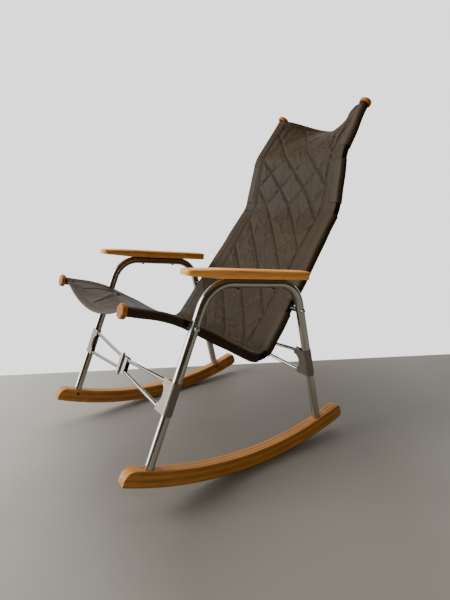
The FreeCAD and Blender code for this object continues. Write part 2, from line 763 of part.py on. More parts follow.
def leaf(name):
    """A folded sheet channel over the rods' ends, with two rolled knuckles."""
    startText = "Sizes.legSpan / 2 - Sizes.leafLength"
    outer = block(name + "Outer", "Sizes.leafLength - Sizes.leafGap", "Sizes.rodDia + 2 * Sizes.sheet",
                  "Sizes.leafHeight", startText, sleeveText + " - Sizes.rodDia - Sizes.sheet")
    inner = block(name + "Inner", "Sizes.leafLength - Sizes.leafGap - Sizes.sheet", "Sizes.rodDia",
                  "Sizes.leafHeight + 2", startText, sleeveText + " - Sizes.rodDia")
    channel = joined("Part::Cut", name + "Channel", outer, inner)
    doc.recompute()
    solid = channel.Shape
    room = knuckleOut + size("knuckleGap")
    top = size("leafHeight") / 2
    for index in range(4):
        low = top - (index + 1) * knucklePitch + size("knuckleGap")
        high = low + knucklePitch - size("knuckleGap")
        axis = Vector(halfSpan, pinFront, low)
        if index % 2 == 0:
            barrel = Part.makeCylinder(knuckleOut, high - low, axis)
            web = Part.makeBox(halfSpan - size("leafGap") - leafMouth, size("sheet"), high - low,
                               Vector(leafMouth, sleeveIn, low))
            lip = Part.makeBox(knuckleOut, size("sheet"), high - low, Vector(halfSpan - knuckleOut, sleeveIn, low))
            solid = solid.fuse([barrel, web, lip])
        else:
            notch = Part.makeBox(room + 1, 2 * knuckleOut, high - low + 2 * size("knuckleGap"),
                                 Vector(halfSpan - room, sleeveIn - size("knuckleGap"), low - size("knuckleGap")))
            solid = solid.cut(notch)
    bore = Part.makeCylinder(knuckleIn, size("leafHeight") + 2, Vector(halfSpan, pinFront, -top - 1))
    return shapeItem(name, solid.cut(bore).removeSplitter())


def gatePlace(foot, up, distance, side):
    """The gate's place on the left leg (1) or, turned over, on the right leg (-1)."""
    forward = Vector(0, -up.z, up.y)
    point = foot + up * distance
    inward = Vector(-side, 0, 0)
    upward = up if side == 1 else up.negative()
    matrix = FreeCAD.Matrix(inward.x, forward.x, upward.x, side * halfSpan,
                            inward.y, forward.y, upward.y, point.y,
                            inward.z, forward.z, upward.z, point.z)
    return Placement(matrix)


gates = [("front", frontFoot, frontUp, size("frontGateHeight")), ("rear", rearFoot, rearUp, size("rearGateHeight"))]
for end, foot, up, distance in gates:
    for sideName, side in (("left", 1), ("right", -1)):
        stem = end + "_gate"
        tag = end.capitalize() + sideName.capitalize()
        place = rest.multiply(gatePlace(foot, up, distance, side))
        finish(bracket("Bracket" + tag), "%s_bracket_%s" % (stem, sideName), place)
        upper = side
        finish(shapeItem("UpperRod" + tag, rodShape(upper)), "%s_upper_rod_%s" % (stem, sideName), place)
        finish(shapeItem("LowerRod" + tag, rodShape(-upper)), "%s_lower_rod_%s" % (stem, sideName), place)
        finish(leaf("Leaf" + tag), "%s_hinge_leaf_%s" % (stem, sideName), place)
    pinHeight = size("leafHeight") + 2 * size("leafGap")
    shaft = Part.makeCylinder(size("pinDia") / 2, pinHeight, Vector(halfSpan, pinFront, -pinHeight / 2))
    ball = size("pinBallDia") / 2
    ballRise = pinHeight / 2 + math.sqrt(ball ** 2 - knuckleIn ** 2)
    balls = [Part.makeSphere(ball, Vector(halfSpan, pinFront, sign * ballRise)) for sign in (-1, 1)]
    pin = shaft.fuse(balls).removeSplitter()
    finish(shapeItem("HingePin" + end.capitalize(), pin), stem + "_hinge_pin",
           rest.multiply(gatePlace(foot, up, distance, 1)))


# Fabric tunnels round the rails
sleeveRadius = size("sleeveDia") / 2


def tunnel(stretches):
    solids = []
    for start, end in stretches:
        edges = stretch(railEdges, start, end)
        outer = sweepRound(edges, sleeveRadius)
        solids.append(outer.cut(sweepRound(edges, sleeveRadius - size("sleeveWall"))))
    return Part.makeCompound(solids)


hemAt = size("slingHemSetback")
boltGap = size("sleeveBoltGap") / 2
cornerGap = size("sleeveCornerGap") / 2
bendGap = size("sleeveBendGap") / 2
seatStretches = [(hemAt / 3, frontBoltAt - boltGap), (frontBoltAt + boltGap, cornerAt - cornerGap)]
backStretches = [(cornerAt + cornerGap, rearBoltAt - boltGap), (rearBoltAt + boltGap, shoulderAt - bendGap),
                 (shoulderAt + bendGap, neckAt - bendGap), (neckAt + bendGap, railLength - hemAt / 3)]
bothSides(shapeItem("SeatTunnels", tunnel(seatStretches)), "seat_tunnels", rest)
bothSides(shapeItem("BackTunnels", tunnel(backStretches)), "back_tunnels", rest)


# The sling hangs between the rails: each station across it is an arc between the tunnels
def station(distance, sag, cut):
    """A closed thin section of the sling at a distance along the rail."""
    point, heading = along(railEdges, distance)
    flat = unit(Vector(0, heading.y, heading.z))
    down = Vector(0, flat.z, -flat.y)
    across = point.x - sleeveRadius - size("slingGap")
    hang = down * sag + flat * cut
    thick = unit(down * sag + flat * cut) * size("slingThickness")
    left = Vector(across, point.y, point.z)
    right = Vector(-across, point.y, point.z)
    low = Vector(0, point.y, point.z) + hang
    upper = Part.Arc(left, low, right).toShape()
    end = Part.LineSegment(right, right + thick).toShape()
    lower = Part.Arc(right + thick, low + thick, left + thick).toShape()
    start = Part.LineSegment(left + thick, left).toShape()
    return Part.Wire([upper, end, lower, start])


def panel(stations):
    """A loft through the stations, notched round the rail nuts."""
    whole = Part.makeLoft([station(*values) for values in stations], True, False)
    notches = []
    for distance in (frontBoltAt, rearBoltAt):
        point, heading = along(railEdges, distance)
        down = unit(Vector(0, heading.z, -heading.y))
        for sign in (-1, 1):
            middle = Vector(sign * point.x, point.y, point.z)
            notches.append(Part.makeCylinder(size("slingNotch"), 2 * size("slingNotch"),
                                             middle - down * size("slingNotch"), down))
    return whole.cut(Part.makeCompound(notches))


seamGap = size("slingGap") / 2
cornerTurn = railEdges[3].Length
slackShares = (0, 0.15, 0.3, 0.5, 0.75, 1)
slackReach = size("slackReach")


def slackStation(distance, share, hemSag, hemCut):
    """A station where the given share of the slack length lies behind."""
    left = (1 - share) ** 2
    return distance, size("slingSag") + (hemSag - size("slingSag")) * left, hemCut * left


seatStations = [slackStation(hemAt + slackReach * share, share, size("frontHemSag"), size("frontHemCut"))
                for share in slackShares]
seatTurn = cornerAt - cornerTurn / 2 - 12
for distance in ((seatStations[-1][0] + seatTurn) / 2, seatTurn, cornerAt - cornerTurn / 4, cornerAt - seamGap):
    seatStations.append((distance, size("slingSag"), 0))
backTurn = cornerAt + cornerTurn / 2 + 12
backHem = railLength - hemAt
evenEnd = backHem - slackReach
backStations = [(distance, size("slingSag"), 0) for distance in
                (cornerAt + seamGap, cornerAt + cornerTurn / 4, backTurn)]
for step in range(1, 5):
    backStations.append((backTurn + (evenEnd - backTurn) * step / 5, size("slingSag"), 0))
for share in reversed(slackShares):
    backStations.append(slackStation(backHem - slackReach * share, share, size("topHemSag"), 0))
finish(shapeItem("SeatPanel", panel(seatStations)), "sling_seat_panel", rest)
finish(shapeItem("BackPanel", panel(backStations)), "sling_back_panel", rest)

# Checks, then one file for each sub-part
doc.recompute()
for item in doc.Objects:
    if "Invalid" in item.State or "Error" in item.State:
        raise RuntimeError("%s failed: %s" % (item.Label, item.State))
os.makedirs("parts", exist_ok=True)
whole = FreeCAD.BoundBox()
for item in finished:
    if item.Shape.isNull() or not item.Shape.isValid() or not item.Shape.Solids:
        raise RuntimeError("%s has no valid solid" % item.Label)
    whole.add(item.Shape.BoundBox)
    item.Shape.exportStep("parts/%s.step" % item.Label)
print("nodes", len(finished), "box", [round(value, 1) for value in (
    whole.XMin, whole.YMin, whole.ZMin, whole.XMax, whole.YMax, whole.ZMax)])
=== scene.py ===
# Folding rocking chair: tubes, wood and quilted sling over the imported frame
import bpy
import math
import numpy as np
from mathutils import Matrix, Vector


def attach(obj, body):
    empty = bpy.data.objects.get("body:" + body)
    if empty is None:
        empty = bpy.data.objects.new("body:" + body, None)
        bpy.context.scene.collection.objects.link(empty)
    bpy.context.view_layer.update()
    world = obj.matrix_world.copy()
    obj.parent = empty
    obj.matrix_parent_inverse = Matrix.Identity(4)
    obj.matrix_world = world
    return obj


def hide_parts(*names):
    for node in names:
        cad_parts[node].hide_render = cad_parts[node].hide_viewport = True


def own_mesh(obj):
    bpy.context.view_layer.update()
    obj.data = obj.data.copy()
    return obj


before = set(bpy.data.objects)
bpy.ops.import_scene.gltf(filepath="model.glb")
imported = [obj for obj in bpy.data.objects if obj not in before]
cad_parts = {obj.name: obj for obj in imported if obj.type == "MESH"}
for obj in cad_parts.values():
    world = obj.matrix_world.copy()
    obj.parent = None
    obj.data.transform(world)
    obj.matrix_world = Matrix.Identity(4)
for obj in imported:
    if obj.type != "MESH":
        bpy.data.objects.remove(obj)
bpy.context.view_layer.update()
print("frame loaded")

# The chair is worked out with its arms level, in millimetres, and then leans back to its balance.
chair = {
    "tilt": math.radians(9.17),
    "rockerRadius": 940.0,
}


# Turns directions of the level chair by its lean
def lean(directions):
    x, y, z = np.moveaxis(np.asarray(directions, float), -1, 0)
    c, s = math.cos(chair["tilt"]), math.sin(chair["tilt"])
    return np.stack([x, y * c + z * s, z * c - y * s], -1)


# Turns points of the level chair about the rockers' centre, and changes millimetres to metres
def toWorld(points):
    centre = np.array([0.0, 0.0, chair["rockerRadius"]])
    return (lean(points - centre) + centre) / 1000


# Camera, from the photograph's viewing angle
view = {
    "place": (1153.0, -626.0, 606.0),
    "yaw": math.radians(-55.66),
    "pitch": math.radians(-8.61),
    "roll": math.radians(4.9),
    "focal": 460.2,         # in pixels of a picture 600 high
    "height": 600.0,
    "sensor": 24.0,         # millimetres
    "nearest": 0.05,
}


# Yaw and pitch give the way ahead, and roll turns the picture's right and up about it
def makeCamera():
    cy, sy = math.cos(view["yaw"]), math.sin(view["yaw"])
    cp, sp = math.cos(view["pitch"]), math.sin(view["pitch"])
    ahead = Vector((sy * cp, cy * cp, sp))
    right = Vector((cy, -sy, 0))
    up = right.cross(ahead)
    cr, sr = math.cos(view["roll"]), math.sin(view["roll"])
    right, up = right * cr + up * sr, up * cr - right * sr
    right, up, ahead = (lean(v) for v in (right, up, ahead))
    data = bpy.data.cameras.new("photoView")
    data.sensor_fit = "VERTICAL"
    data.sensor_height = view["sensor"]
    data.lens = view["focal"] / view["height"] * view["sensor"]
    data.clip_start = view["nearest"]
    camera = bpy.data.objects.new("photoView", data)
    bpy.context.scene.collection.objects.link(camera)
    camera.matrix_world = Matrix((*np.stack([right, up, -ahead, toWorld(view["place"])], -1), (0, 0, 0, 1)))
    bpy.context.scene.camera = camera


makeCamera()


# Short ways to build shader trees

# Fills inputs by name or number: a socket is linked, anything else is set
def feed(tree, node, values):
    for name, value in values.items():
        socket = node.inputs[name]
        if isinstance(value, bpy.types.NodeSocket):
            tree.links.new(value, socket)
        elif socket.type == "RGBA":
            socket.default_value = (*value, 1)
        else:
            socket.default_value = value


# A shader node; values go to its inputs, settings to its own properties
def addNode(tree, kind, values=None, **settings):
    node = tree.nodes.new(kind)
    for name, value in settings.items():
        setattr(node, name, value)
    feed(tree, node, values or {})
    return node


# The result of one Math node
def addMath(tree, operation, first, second=0.0, third=0.0, clamp=False):
    return addNode(tree, "ShaderNodeMath", {0: first, 1: second, 2: third}, operation=operation,
                   use_clamp=clamp).outputs[0]


# Nought up to the start, and then a straight rise to one
def addRise(tree, value, start, rate):
    return addMath(tree, "MULTIPLY", addMath(tree, "SUBTRACT", value, start), rate, clamp=True)


# Noise about a half
def addNoise(tree, place, scale, detail, distortion=0.0):
    return addNode(tree, "ShaderNodeTexNoise", {"Vector": place, "Scale": scale, "Detail": detail,
                                                "Distortion": distortion}).outputs["Fac"]


# A normal that leans with the height's slope
def addBump(tree, height, strength, distance):
    return addNode(tree, "ShaderNodeBump", {"Strength": strength, "Distance": distance,
                                            "Height": height}).outputs[0]


# A colour ramp with the given stops of place and colour
def addRamp(tree, factor, stops, smooth=False):
    node = addNode(tree, "ShaderNodeValToRGB", {"Fac": factor})
    if smooth:
        node.color_ramp.interpolation = "EASE"
    elements = node.color_ramp.elements
    while len(elements) < len(stops):
        elements.new(0.5)
    for element, (place, colour) in zip(elements, stops):
        element.position = place
        element.color = (*colour, 1)
    return node.outputs["Color"]


# The same value three times
def grey(value):
    return (value, value, value)


# Two colours in one, by the factor and the blend mode
def mixColour(tree, factor, first, second, blend="MIX"):
    return addNode(tree, "ShaderNodeMix", {0: factor, 6: first, 7: second}, data_type="RGBA",
                   blend_type=blend).outputs[2]


# An empty node group with named inputs, given with their values, and named outputs
def shaderGroup(name, inputs, outputs):
    group = bpy.data.node_groups.new(name, "ShaderNodeTree")
    for label, value in inputs.items():
        kind = "NodeSocketVector" if isinstance(value, tuple) else "NodeSocketFloat"
        group.interface.new_socket(label, in_out="INPUT", socket_type=kind).default_value = value
    for label in outputs:
        group.interface.new_socket(label, in_out="OUTPUT", socket_type="NodeSocketFloat")
    return group, group.nodes.new("NodeGroupInput").outputs, group.nodes.new("NodeGroupOutput")


# The outputs of a group's node
def useGroup(tree, group, values):
    return addNode(tree, "ShaderNodeGroup", values, node_tree=group).outputs


# A new material with its Principled shader, and its place in the object's own coordinates
def principled(name):
    material = bpy.data.materials.new(name)
    material.use_nodes = True
    tree = material.node_tree
    place = addNode(tree, "ShaderNodeTexCoord").outputs["Object"]
    return material, tree, tree.nodes["Principled BSDF"], place


# Floor, grey paint with painted light that darkens across the picture into painted shade
floor = {
    # These floor colours are painted light and shade: the pale one where the light falls strongest, the dark
    # one a painted shade through the middle, the right one a lighter painted shade toward the right
    "paintedLightPale": (0.400, 0.385, 0.350),
    "dark": (0.150, 0.136, 0.114),
    "right": (0.210, 0.198, 0.175),
    "aside": (0.55, 0.83, 0.0),     # the way from pale to dark
    "asideRate": 0.5,
    "asideStart": 0.475,
    "blotch": 0.25,
    "blotchScale": 1.5,
    "roughness": 0.55,
    "edge": ((-0.866, -0.496), (0.154, 1.062)),     # two points of its far edge
    "reach": 5.0,
}


# The far edge runs through its two points, and the floor spreads from it toward the camera
def makeFloor():
    material, tree, shader, place = principled("floorPaintedLight")
    blotch = addNoise(tree, place, floor["blotchScale"], 5.0)
    aside = addNode(tree, "ShaderNodeVectorMath", {0: place, 1: floor["aside"]},
                    operation="DOT_PRODUCT").outputs["Value"]
    # The place across the floor sets the painted light and shade; random blotches vary it
    share = addMath(tree, "MULTIPLY_ADD", aside, floor["asideRate"], floor["asideStart"])
    share = addMath(tree, "MULTIPLY_ADD", blotch, floor["blotch"], share)
    colour = addRamp(tree, share, [(0.15, floor["paintedLightPale"]), (0.60, floor["dark"]), (0.80, floor["dark"]),
                                   (1.0, floor["right"])])
    feed(tree, shader, {"Base Color": colour, "Roughness": floor["roughness"]})
    first, second = (Vector((*point, 0)) for point in floor["edge"])
    along = (second - first).normalized() * floor["reach"]
    nearer = Vector((along.y, -along.x, 0)) * 2
    mesh = bpy.data.meshes.new("floor")
    mesh.from_pydata([first - along, first - along + nearer, second + along + nearer, second + along], [],
                     [(0, 1, 2, 3)])
    mesh.materials.append(material)
    obj = bpy.data.objects.new("floor", mesh)
    bpy.context.scene.collection.objects.link(obj)


# Surroundings that the chrome mirrors, and the pale ground that the camera sees behind the chair
surround = {
    "room": {"aim": (-0.55, -0.75, 0.35),
             "stops": [(0.80, (0.038, 0.033, 0.027)), (0.93, (0.45, 0.44, 0.41)), (0.985, (6.0, 6.0, 5.8))]},
    "wall": {"aim": (-0.80, 0.52, 0.30),
             "stops": [(0.72, (0.0, 0.0, 0.0)), (0.93, (0.85, 0.86, 0.84))]},
    "seen": (0.94, 0.955, 0.935),
    "seenStrength": 1.95,
}


# Each lobe is a ramp over the angle from its aim, and the two are added
def makeSurround():
    world = bpy.data.worlds.new("surround")
    bpy.context.scene.world = world
    world.use_nodes = True
    tree = world.node_tree
    around = tree.nodes["Background"]
    heading = addNode(tree, "ShaderNodeTexCoord").outputs["Generated"]
    lobes = []
    for lobe in (surround["room"], surround["wall"]):
        toward = addNode(tree, "ShaderNodeVectorMath", {0: heading, 1: Vector(lobe["aim"]).normalized()},
                         operation="DOT_PRODUCT").outputs["Value"]
        lobes.append(addRamp(tree, addMath(tree, "MULTIPLY_ADD", toward, 0.5, 0.5), lobe["stops"], True))
    feed(tree, around, {"Color": mixColour(tree, 1.0, *lobes, "ADD")})
    seen = addNode(tree, "ShaderNodeBackground", {"Color": surround["seen"],
                                                  "Strength": surround["seenStrength"]})
    isCamera = addNode(tree, "ShaderNodeLightPath").outputs["Is Camera Ray"]
    choice = addNode(tree, "ShaderNodeMixShader", {0: isCamera, 1: around.outputs[0], 2: seen.outputs[0]})
    feed(tree, tree.nodes["World Output"], {"Surface": choice.outputs[0]})


# Lamps, in metres and watts
lamps = {
    "keyLight": {"place": (-1.1, -2.7, 2.3), "aim": (0, 0, 0.4), "width": 1.3, "power": 100.0},
    "fillLight": {"place": (2.5, -0.7, 1.4), "aim": (0, 0, 0.4), "width": 1.6, "power": 18.0},
    "topLight": {"place": (-0.6, 0.4, 3.0), "aim": (0, 0, 0.3), "width": 2.4, "power": 66.0},
}


# A square lamp that faces its aim, and that no metal mirrors
def areaLight(name, place, aim, width, power):
    data = bpy.data.lights.new(name, "AREA")
    data.shape = "SQUARE"
    data.size = width
    data.energy = power
    lamp = bpy.data.objects.new(name, data)
    bpy.context.scene.collection.objects.link(lamp)
    lamp.location = place
    lamp.visible_glossy = False
    lamp.rotation_euler = (Vector(aim) - Vector(place)).to_track_quat("-Z", "Y").to_euler()


makeFloor()
makeSurround()
for name, lamp in lamps.items():
    areaLight(name, **lamp)
print("camera and studio made")


# Puts the material on every CAD node whose name starts with one of the stems
def dress(stems, material):
    for name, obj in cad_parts.items():
        if name.startswith(stems):
            for slot in obj.material_slots:
                slot.material = material


# Oiled beech of the rockers, armrests and knobs, with scales in waves to the metre
beech = {
    "stops": [(0.15, (0.27, 0.090, 0.012)), (0.5, (0.43, 0.165, 0.025)), (0.85, (0.60, 0.265, 0.050))],
    "pore": (0.15, 0.048, 0.008),
    "poreShare": 0.5,
    "worn": (0.68, 0.32, 0.09),
    "wear": {"Breakup": 45.0, "Amount": 0.55},
    "bendScale": 9.0,
    "slant": 0.8,           # how much of Z counts with X in the way across the rings
    "waveDepth": 0.16,
    "fineScale": 320.0,
    "fineDepth": 0.9,
    "fineStart": 0.05,
    "cloudScale": 6.0,
    "cloudDark": 0.78,
    "roughness": 0.42,
    "roughRange": 0.14,
    "roughStart": 0.05,
    "bump": 0.25,
    "bumpDistance": 0.0006,
    "specular": 0.35,
    "coatRoughness": 0.3,
}
# Each wood's colour factor multiplies the beech colours: for the knobs it is their own redder tone, for the
# two arms it is painted light and shade on the same beech
woods = {
    "rockerBeech": {"on": ("rocker",), "rings": 75.0, "stretch": 0.05,
                    "turn": None,       # its grain is bent instead
                    "toneAndPaintedLight": (1.0, 1.0, 1.0), "coat": 0.08},
    # the near arm: a lighter copy of the beech, painted light
    "nearArmBeechPaintedLit": {"on": ("armrest_left",), "rings": 60.0, "stretch": 0.04,
                     "turn": (chair["tilt"], 0.0, 0.0), "toneAndPaintedLight": (2.1, 2.2, 2.7), "coat": 0.15},
    # the far arm: a darker copy of the same beech, painted shade
    "farArmBeechPaintedShade": {"on": ("armrest_right",), "rings": 60.0, "stretch": 0.04,
                    "turn": (chair["tilt"], 0.0, 0.0), "toneAndPaintedLight": (1.5, 1.45, 1.6), "coat": 0.15},
    "knobBeech": {"on": ("seat_knob", "back_knob"), "rings": 60.0, "stretch": 0.35, "turn": (0.5, 0.0, 0.3),
                  "toneAndPaintedLight": (0.74, 0.62, 0.55), "coat": 0.08},
}


# Wood grain: stretched noise bends a set of fine rings, and short dark pores lie along it
def makeGrainGroup():
    group, start, end = shaderGroup(
        "woodGrain", {"Vector": (0, 0, 0), "Rings": 26.0, "Stretch": 0.06, "Pores": 900.0},
        ("Grain", "Pore", "Cloud"))
    scale = addNode(group, "ShaderNodeCombineXYZ", {"X": 1.0, "Y": start["Stretch"], "Z": 1.0}).outputs[0]
    along = addNode(group, "ShaderNodeVectorMath", {0: start["Vector"], 1: scale},
                    operation="MULTIPLY").outputs[0]
    parts = addNode(group, "ShaderNodeSeparateXYZ", {"Vector": along}).outputs
    across = addMath(group, "MULTIPLY_ADD", parts["Z"], beech["slant"], parts["X"])
    bend = addNoise(group, along, beech["bendScale"], 4.0)
    rings = addMath(group, "MULTIPLY_ADD", across, start["Rings"], bend)
    wave = addMath(group, "SINE", addMath(group, "MULTIPLY", rings, math.tau))
    fine = addNoise(group, along, beech["fineScale"], 5.0)
    fine = addMath(group, "MULTIPLY_ADD", fine, beech["fineDepth"], beech["fineStart"])
    feed(group, end, {
        "Grain": addMath(group, "MULTIPLY_ADD", wave, beech["waveDepth"], fine, clamp=True),
        "Pore": addRise(group, addNoise(group, along, start["Pores"], 2.0), 0.62, 6.0),
        "Cloud": addNoise(group, start["Vector"], beech["cloudScale"], 3.0)})
    return group


# Wear along edges: how far the surface is more pointed than flat, broken up with noise
def makeEdgeGroup():
    group, start, end = shaderGroup(
        "edgeWear", {"Vector": (0, 0, 0), "Breakup": 60.0, "Amount": 0.5}, ("Mask",))
    sharp = addRise(group, addNode(group, "ShaderNodeNewGeometry").outputs["Pointiness"], 0.505, 18.0)
    patch = addRise(group, addNoise(group, start["Vector"], start["Breakup"], 4.0), 0.42, 5.0)
    mask = addMath(group, "MULTIPLY", addMath(group, "MULTIPLY", sharp, patch), start["Amount"], clamp=True)
    feed(group, end, {"Mask": mask})
    return group


# Specks: small blotches where fine noise passes a threshold, gathered by a slower noise
def makeSpeckGroup():
    group, start, end = shaderGroup(
        "specks", {"Vector": (0, 0, 0), "Fine": 420.0, "Slow": 14.0, "Threshold": 0.62}, ("Mask", "Haze"))
    fine = addNoise(group, start["Vector"], start["Fine"], 3.0)
    slow = addNoise(group, start["Vector"], start["Slow"], 4.0)
    both = addMath(group, "MULTIPLY_ADD", slow, 0.35, addMath(group, "MULTIPLY", fine, 0.75))
    feed(group, end, {"Mask": addRise(group, both, start["Threshold"], 14.0), "Haze": slow})
    return group


grainGroup = makeGrainGroup()
edgeGroup = makeEdgeGroup()
speckGroup = makeSpeckGroup()


# The grain follows the rocker's bend: the way along its arc stands for Y, and the radius for Z
def aroundRocker(tree, place):
    radius = chair["rockerRadius"] / 1000
    parts = addNode(tree, "ShaderNodeSeparateXYZ", {"Vector": place}).outputs
    up = addMath(tree, "SUBTRACT", radius, parts["Z"])
    reach = addMath(tree, "SQRT", addMath(tree, "MULTIPLY_ADD", up, up,
                                          addMath(tree, "MULTIPLY", parts["Y"], parts["Y"])))
    walked = addMath(tree, "MULTIPLY", addMath(tree, "ARCTAN2", parts["Y"], up), radius)
    return addNode(tree, "ShaderNodeCombineXYZ", {"X": parts["X"], "Y": walked, "Z": reach}).outputs[0]


# Grain colours, scaled by each wood's own tone or painted light and shade, times slow clouds, with dark
# pores, pale worn edges and a thin coat
def makeWood(name, wood):
    material, tree, shader, place = principled(name)
    if wood["turn"] is None:
        turned = aroundRocker(tree, place)
    else:
        turned = addNode(tree, "ShaderNodeMapping", {"Vector": place, "Rotation": wood["turn"]}).outputs[0]
    grain = useGroup(tree, grainGroup, {"Vector": turned, "Rings": wood["rings"],
                                        "Stretch": wood["stretch"]})
    # the arms' factors paint light and shade into the grain colours; the knobs' gives their own tone
    stops = [(stop, tuple(np.multiply(colour, wood["toneAndPaintedLight"]).tolist())) for stop, colour in beech["stops"]]
    cloud = addRamp(tree, grain["Cloud"], [(0.3, grey(beech["cloudDark"])), (0.7, grey(1.0))])
    colour = mixColour(tree, 1.0, addRamp(tree, grain["Grain"], stops), cloud, "MULTIPLY")
    pore = addMath(tree, "MULTIPLY", grain["Pore"], beech["poreShare"])
    colour = mixColour(tree, pore, colour, beech["pore"])
    worn = useGroup(tree, edgeGroup, {"Vector": place, **beech["wear"]})["Mask"]
    rough = addMath(tree, "MULTIPLY_ADD", grain["Grain"], beech["roughRange"],
                    beech["roughness"] - beech["roughStart"])
    height = addMath(tree, "MULTIPLY_ADD", grain["Pore"], -1.0, grain["Grain"])
    feed(tree, shader, {
        "Base Color": mixColour(tree, worn, colour, beech["worn"]),
        "Roughness": rough,
        "Normal": addBump(tree, height, beech["bump"], beech["bumpDistance"]),
        "Specular IOR Level": beech["specular"],
        "Coat Weight": wood["coat"],
        "Coat Roughness": beech["coatRoughness"]})
    return material


for name, wood in woods.items():
    dress(wood["on"], makeWood(name, wood))

# Aged chrome of the tubes and bolts, zinc of the gates' sheet and dark steel of the small fasteners
metal = {
    "stainShare": 0.7,
    "stainRough": 0.25,
    "stainDull": 0.5,
    "hazeRough": 0.14,
    "hazeStart": 0.06,
    "scratchScale": 700.0,
    "scratchStretch": 0.05,
    "scratchDistance": 0.0002,
}
metals = {
    "tubeChrome": {"on": ("side_tube", "front_gate_upper", "front_gate_lower", "rear_gate_upper",
                          "rear_gate_lower"),
                   "clean": (0.60, 0.57, 0.52), "stain": (0.22, 0.16, 0.10), "roughness": 0.10,
                   "threshold": 0.66, "scratch": 0.05},
    "gateZinc": {"on": ("front_gate_hinge_leaf", "rear_gate_hinge_leaf"),
                 "clean": (0.44, 0.43, 0.40), "stain": (0.26, 0.22, 0.18), "roughness": 0.36,
                 "threshold": 0.63, "scratch": 0.12},
    "bracketZinc": {"on": ("front_gate_bracket", "rear_gate_bracket"),
                    "clean": (0.29, 0.27, 0.23), "stain": (0.2, 0.16, 0.12), "roughness": 0.38,
                    "threshold": 0.63, "scratch": 0.12},
    "boltChrome": {"on": ("front_rail_bolt", "rear_rail_bolt", "gate_stop_pins", "front_gate_hinge_pin",
                          "rear_gate_hinge_pin"),
                   "clean": (0.66, 0.64, 0.61), "stain": (0.28, 0.2, 0.14), "roughness": 0.2,
                   "threshold": 0.63, "scratch": 0.05},
    "darkSteel": {"on": ("front_rail_nut", "rear_rail_nut", "front_rail_spacer", "rear_rail_spacer",
                         "arm_screws", "foot_screws"),
                  "clean": (0.06, 0.055, 0.05), "stain": (0.03, 0.025, 0.02), "roughness": 0.4,
                  "threshold": 0.63, "scratch": 0.05},
}


# Specks are stained, rougher and duller, slow haze roughens the rest, and long scratches bend it
def makeMetal(name, kind):
    material, tree, shader, place = principled(name)
    speck = useGroup(tree, speckGroup, {"Vector": place, "Threshold": kind["threshold"]})
    stretched = addNode(tree, "ShaderNodeMapping",
                        {"Vector": place, "Scale": (1.0, 1.0, metal["scratchStretch"])}).outputs[0]
    lines = addNoise(tree, stretched, metal["scratchScale"], 3.0)
    stained = addMath(tree, "MULTIPLY", speck["Mask"], metal["stainShare"])
    rough = addMath(tree, "MULTIPLY_ADD", speck["Haze"], metal["hazeRough"],
                    kind["roughness"] - metal["hazeStart"])
    feed(tree, shader, {
        "Base Color": mixColour(tree, stained, kind["clean"], kind["stain"]),
        "Roughness": addMath(tree, "MULTIPLY_ADD", speck["Mask"], metal["stainRough"], rough, clamp=True),
        "Metallic": addMath(tree, "MULTIPLY_ADD", speck["Mask"], -metal["stainDull"], 1.0),
        "Normal": addBump(tree, lines, kind["scratch"], metal["scratchDistance"])})
    return material


for name, kind in metals.items():
    dress(kind["on"], makeMetal(name, kind))

# Dark enamel of the sling rails
enamel = {
    "colour": (0.006, 0.005, 0.004),
    "chip": (0.05, 0.04, 0.035),
    "chipShare": 0.5,
    "specks": {"Fine": 260.0, "Threshold": 0.66},
    "roughness": 0.6,
    "hazeRough": 0.3,
    "hazeStart": 0.12,
    "specular": 0.2,
}


# Specks show where the enamel is chipped, and slow haze varies its roughness
def makeEnamel():
    material, tree, shader, place = principled("railEnamel")
    speck = useGroup(tree, speckGroup, {"Vector": place, **enamel["specks"]})
    chipped = addMath(tree, "MULTIPLY", speck["Mask"], enamel["chipShare"])
    feed(tree, shader, {
        "Base Color": mixColour(tree, chipped, enamel["colour"], enamel["chip"]),
        "Roughness": addMath(tree, "MULTIPLY_ADD", speck["Haze"], enamel["hazeRough"],
                             enamel["roughness"] - enamel["hazeStart"]),
        "Specular IOR Level": enamel["specular"]})
    return material


dress("sling_rail", makeEnamel())

# The sling's quilting: two families of slanted lines inside a margin, in millimetres along and across
quilt = {
    "pitch": 107.0,
    "squeeze": 0.7071,      # a line's distance, from a step along the rail to one square to the line
    "start": 1006.5,        # where two lines cross, along the rail
    "aside": -7.5,          # and across the chair
    "margin": 158.0,
    "second": 8.0,          # from the margin's first line to its second
    "fainter": 0.5,         # strength of the second family of lines
    "thread": 0.7,
    "stitch": 5.0,
    "stitchGap": 0.14,      # half of the gap between two stitches, as a share of their pitch
    "groove": 2.8,
    "valley": 1.7,
    "valleyWidth": 4.0,
    "marginValley": 0.8,
    "marginWidth": 4.5,
    "puff": 2.2,
    "puffReach": 30.0,
    "crumple": 1.6,
    "fadeIn": 5.0,
}
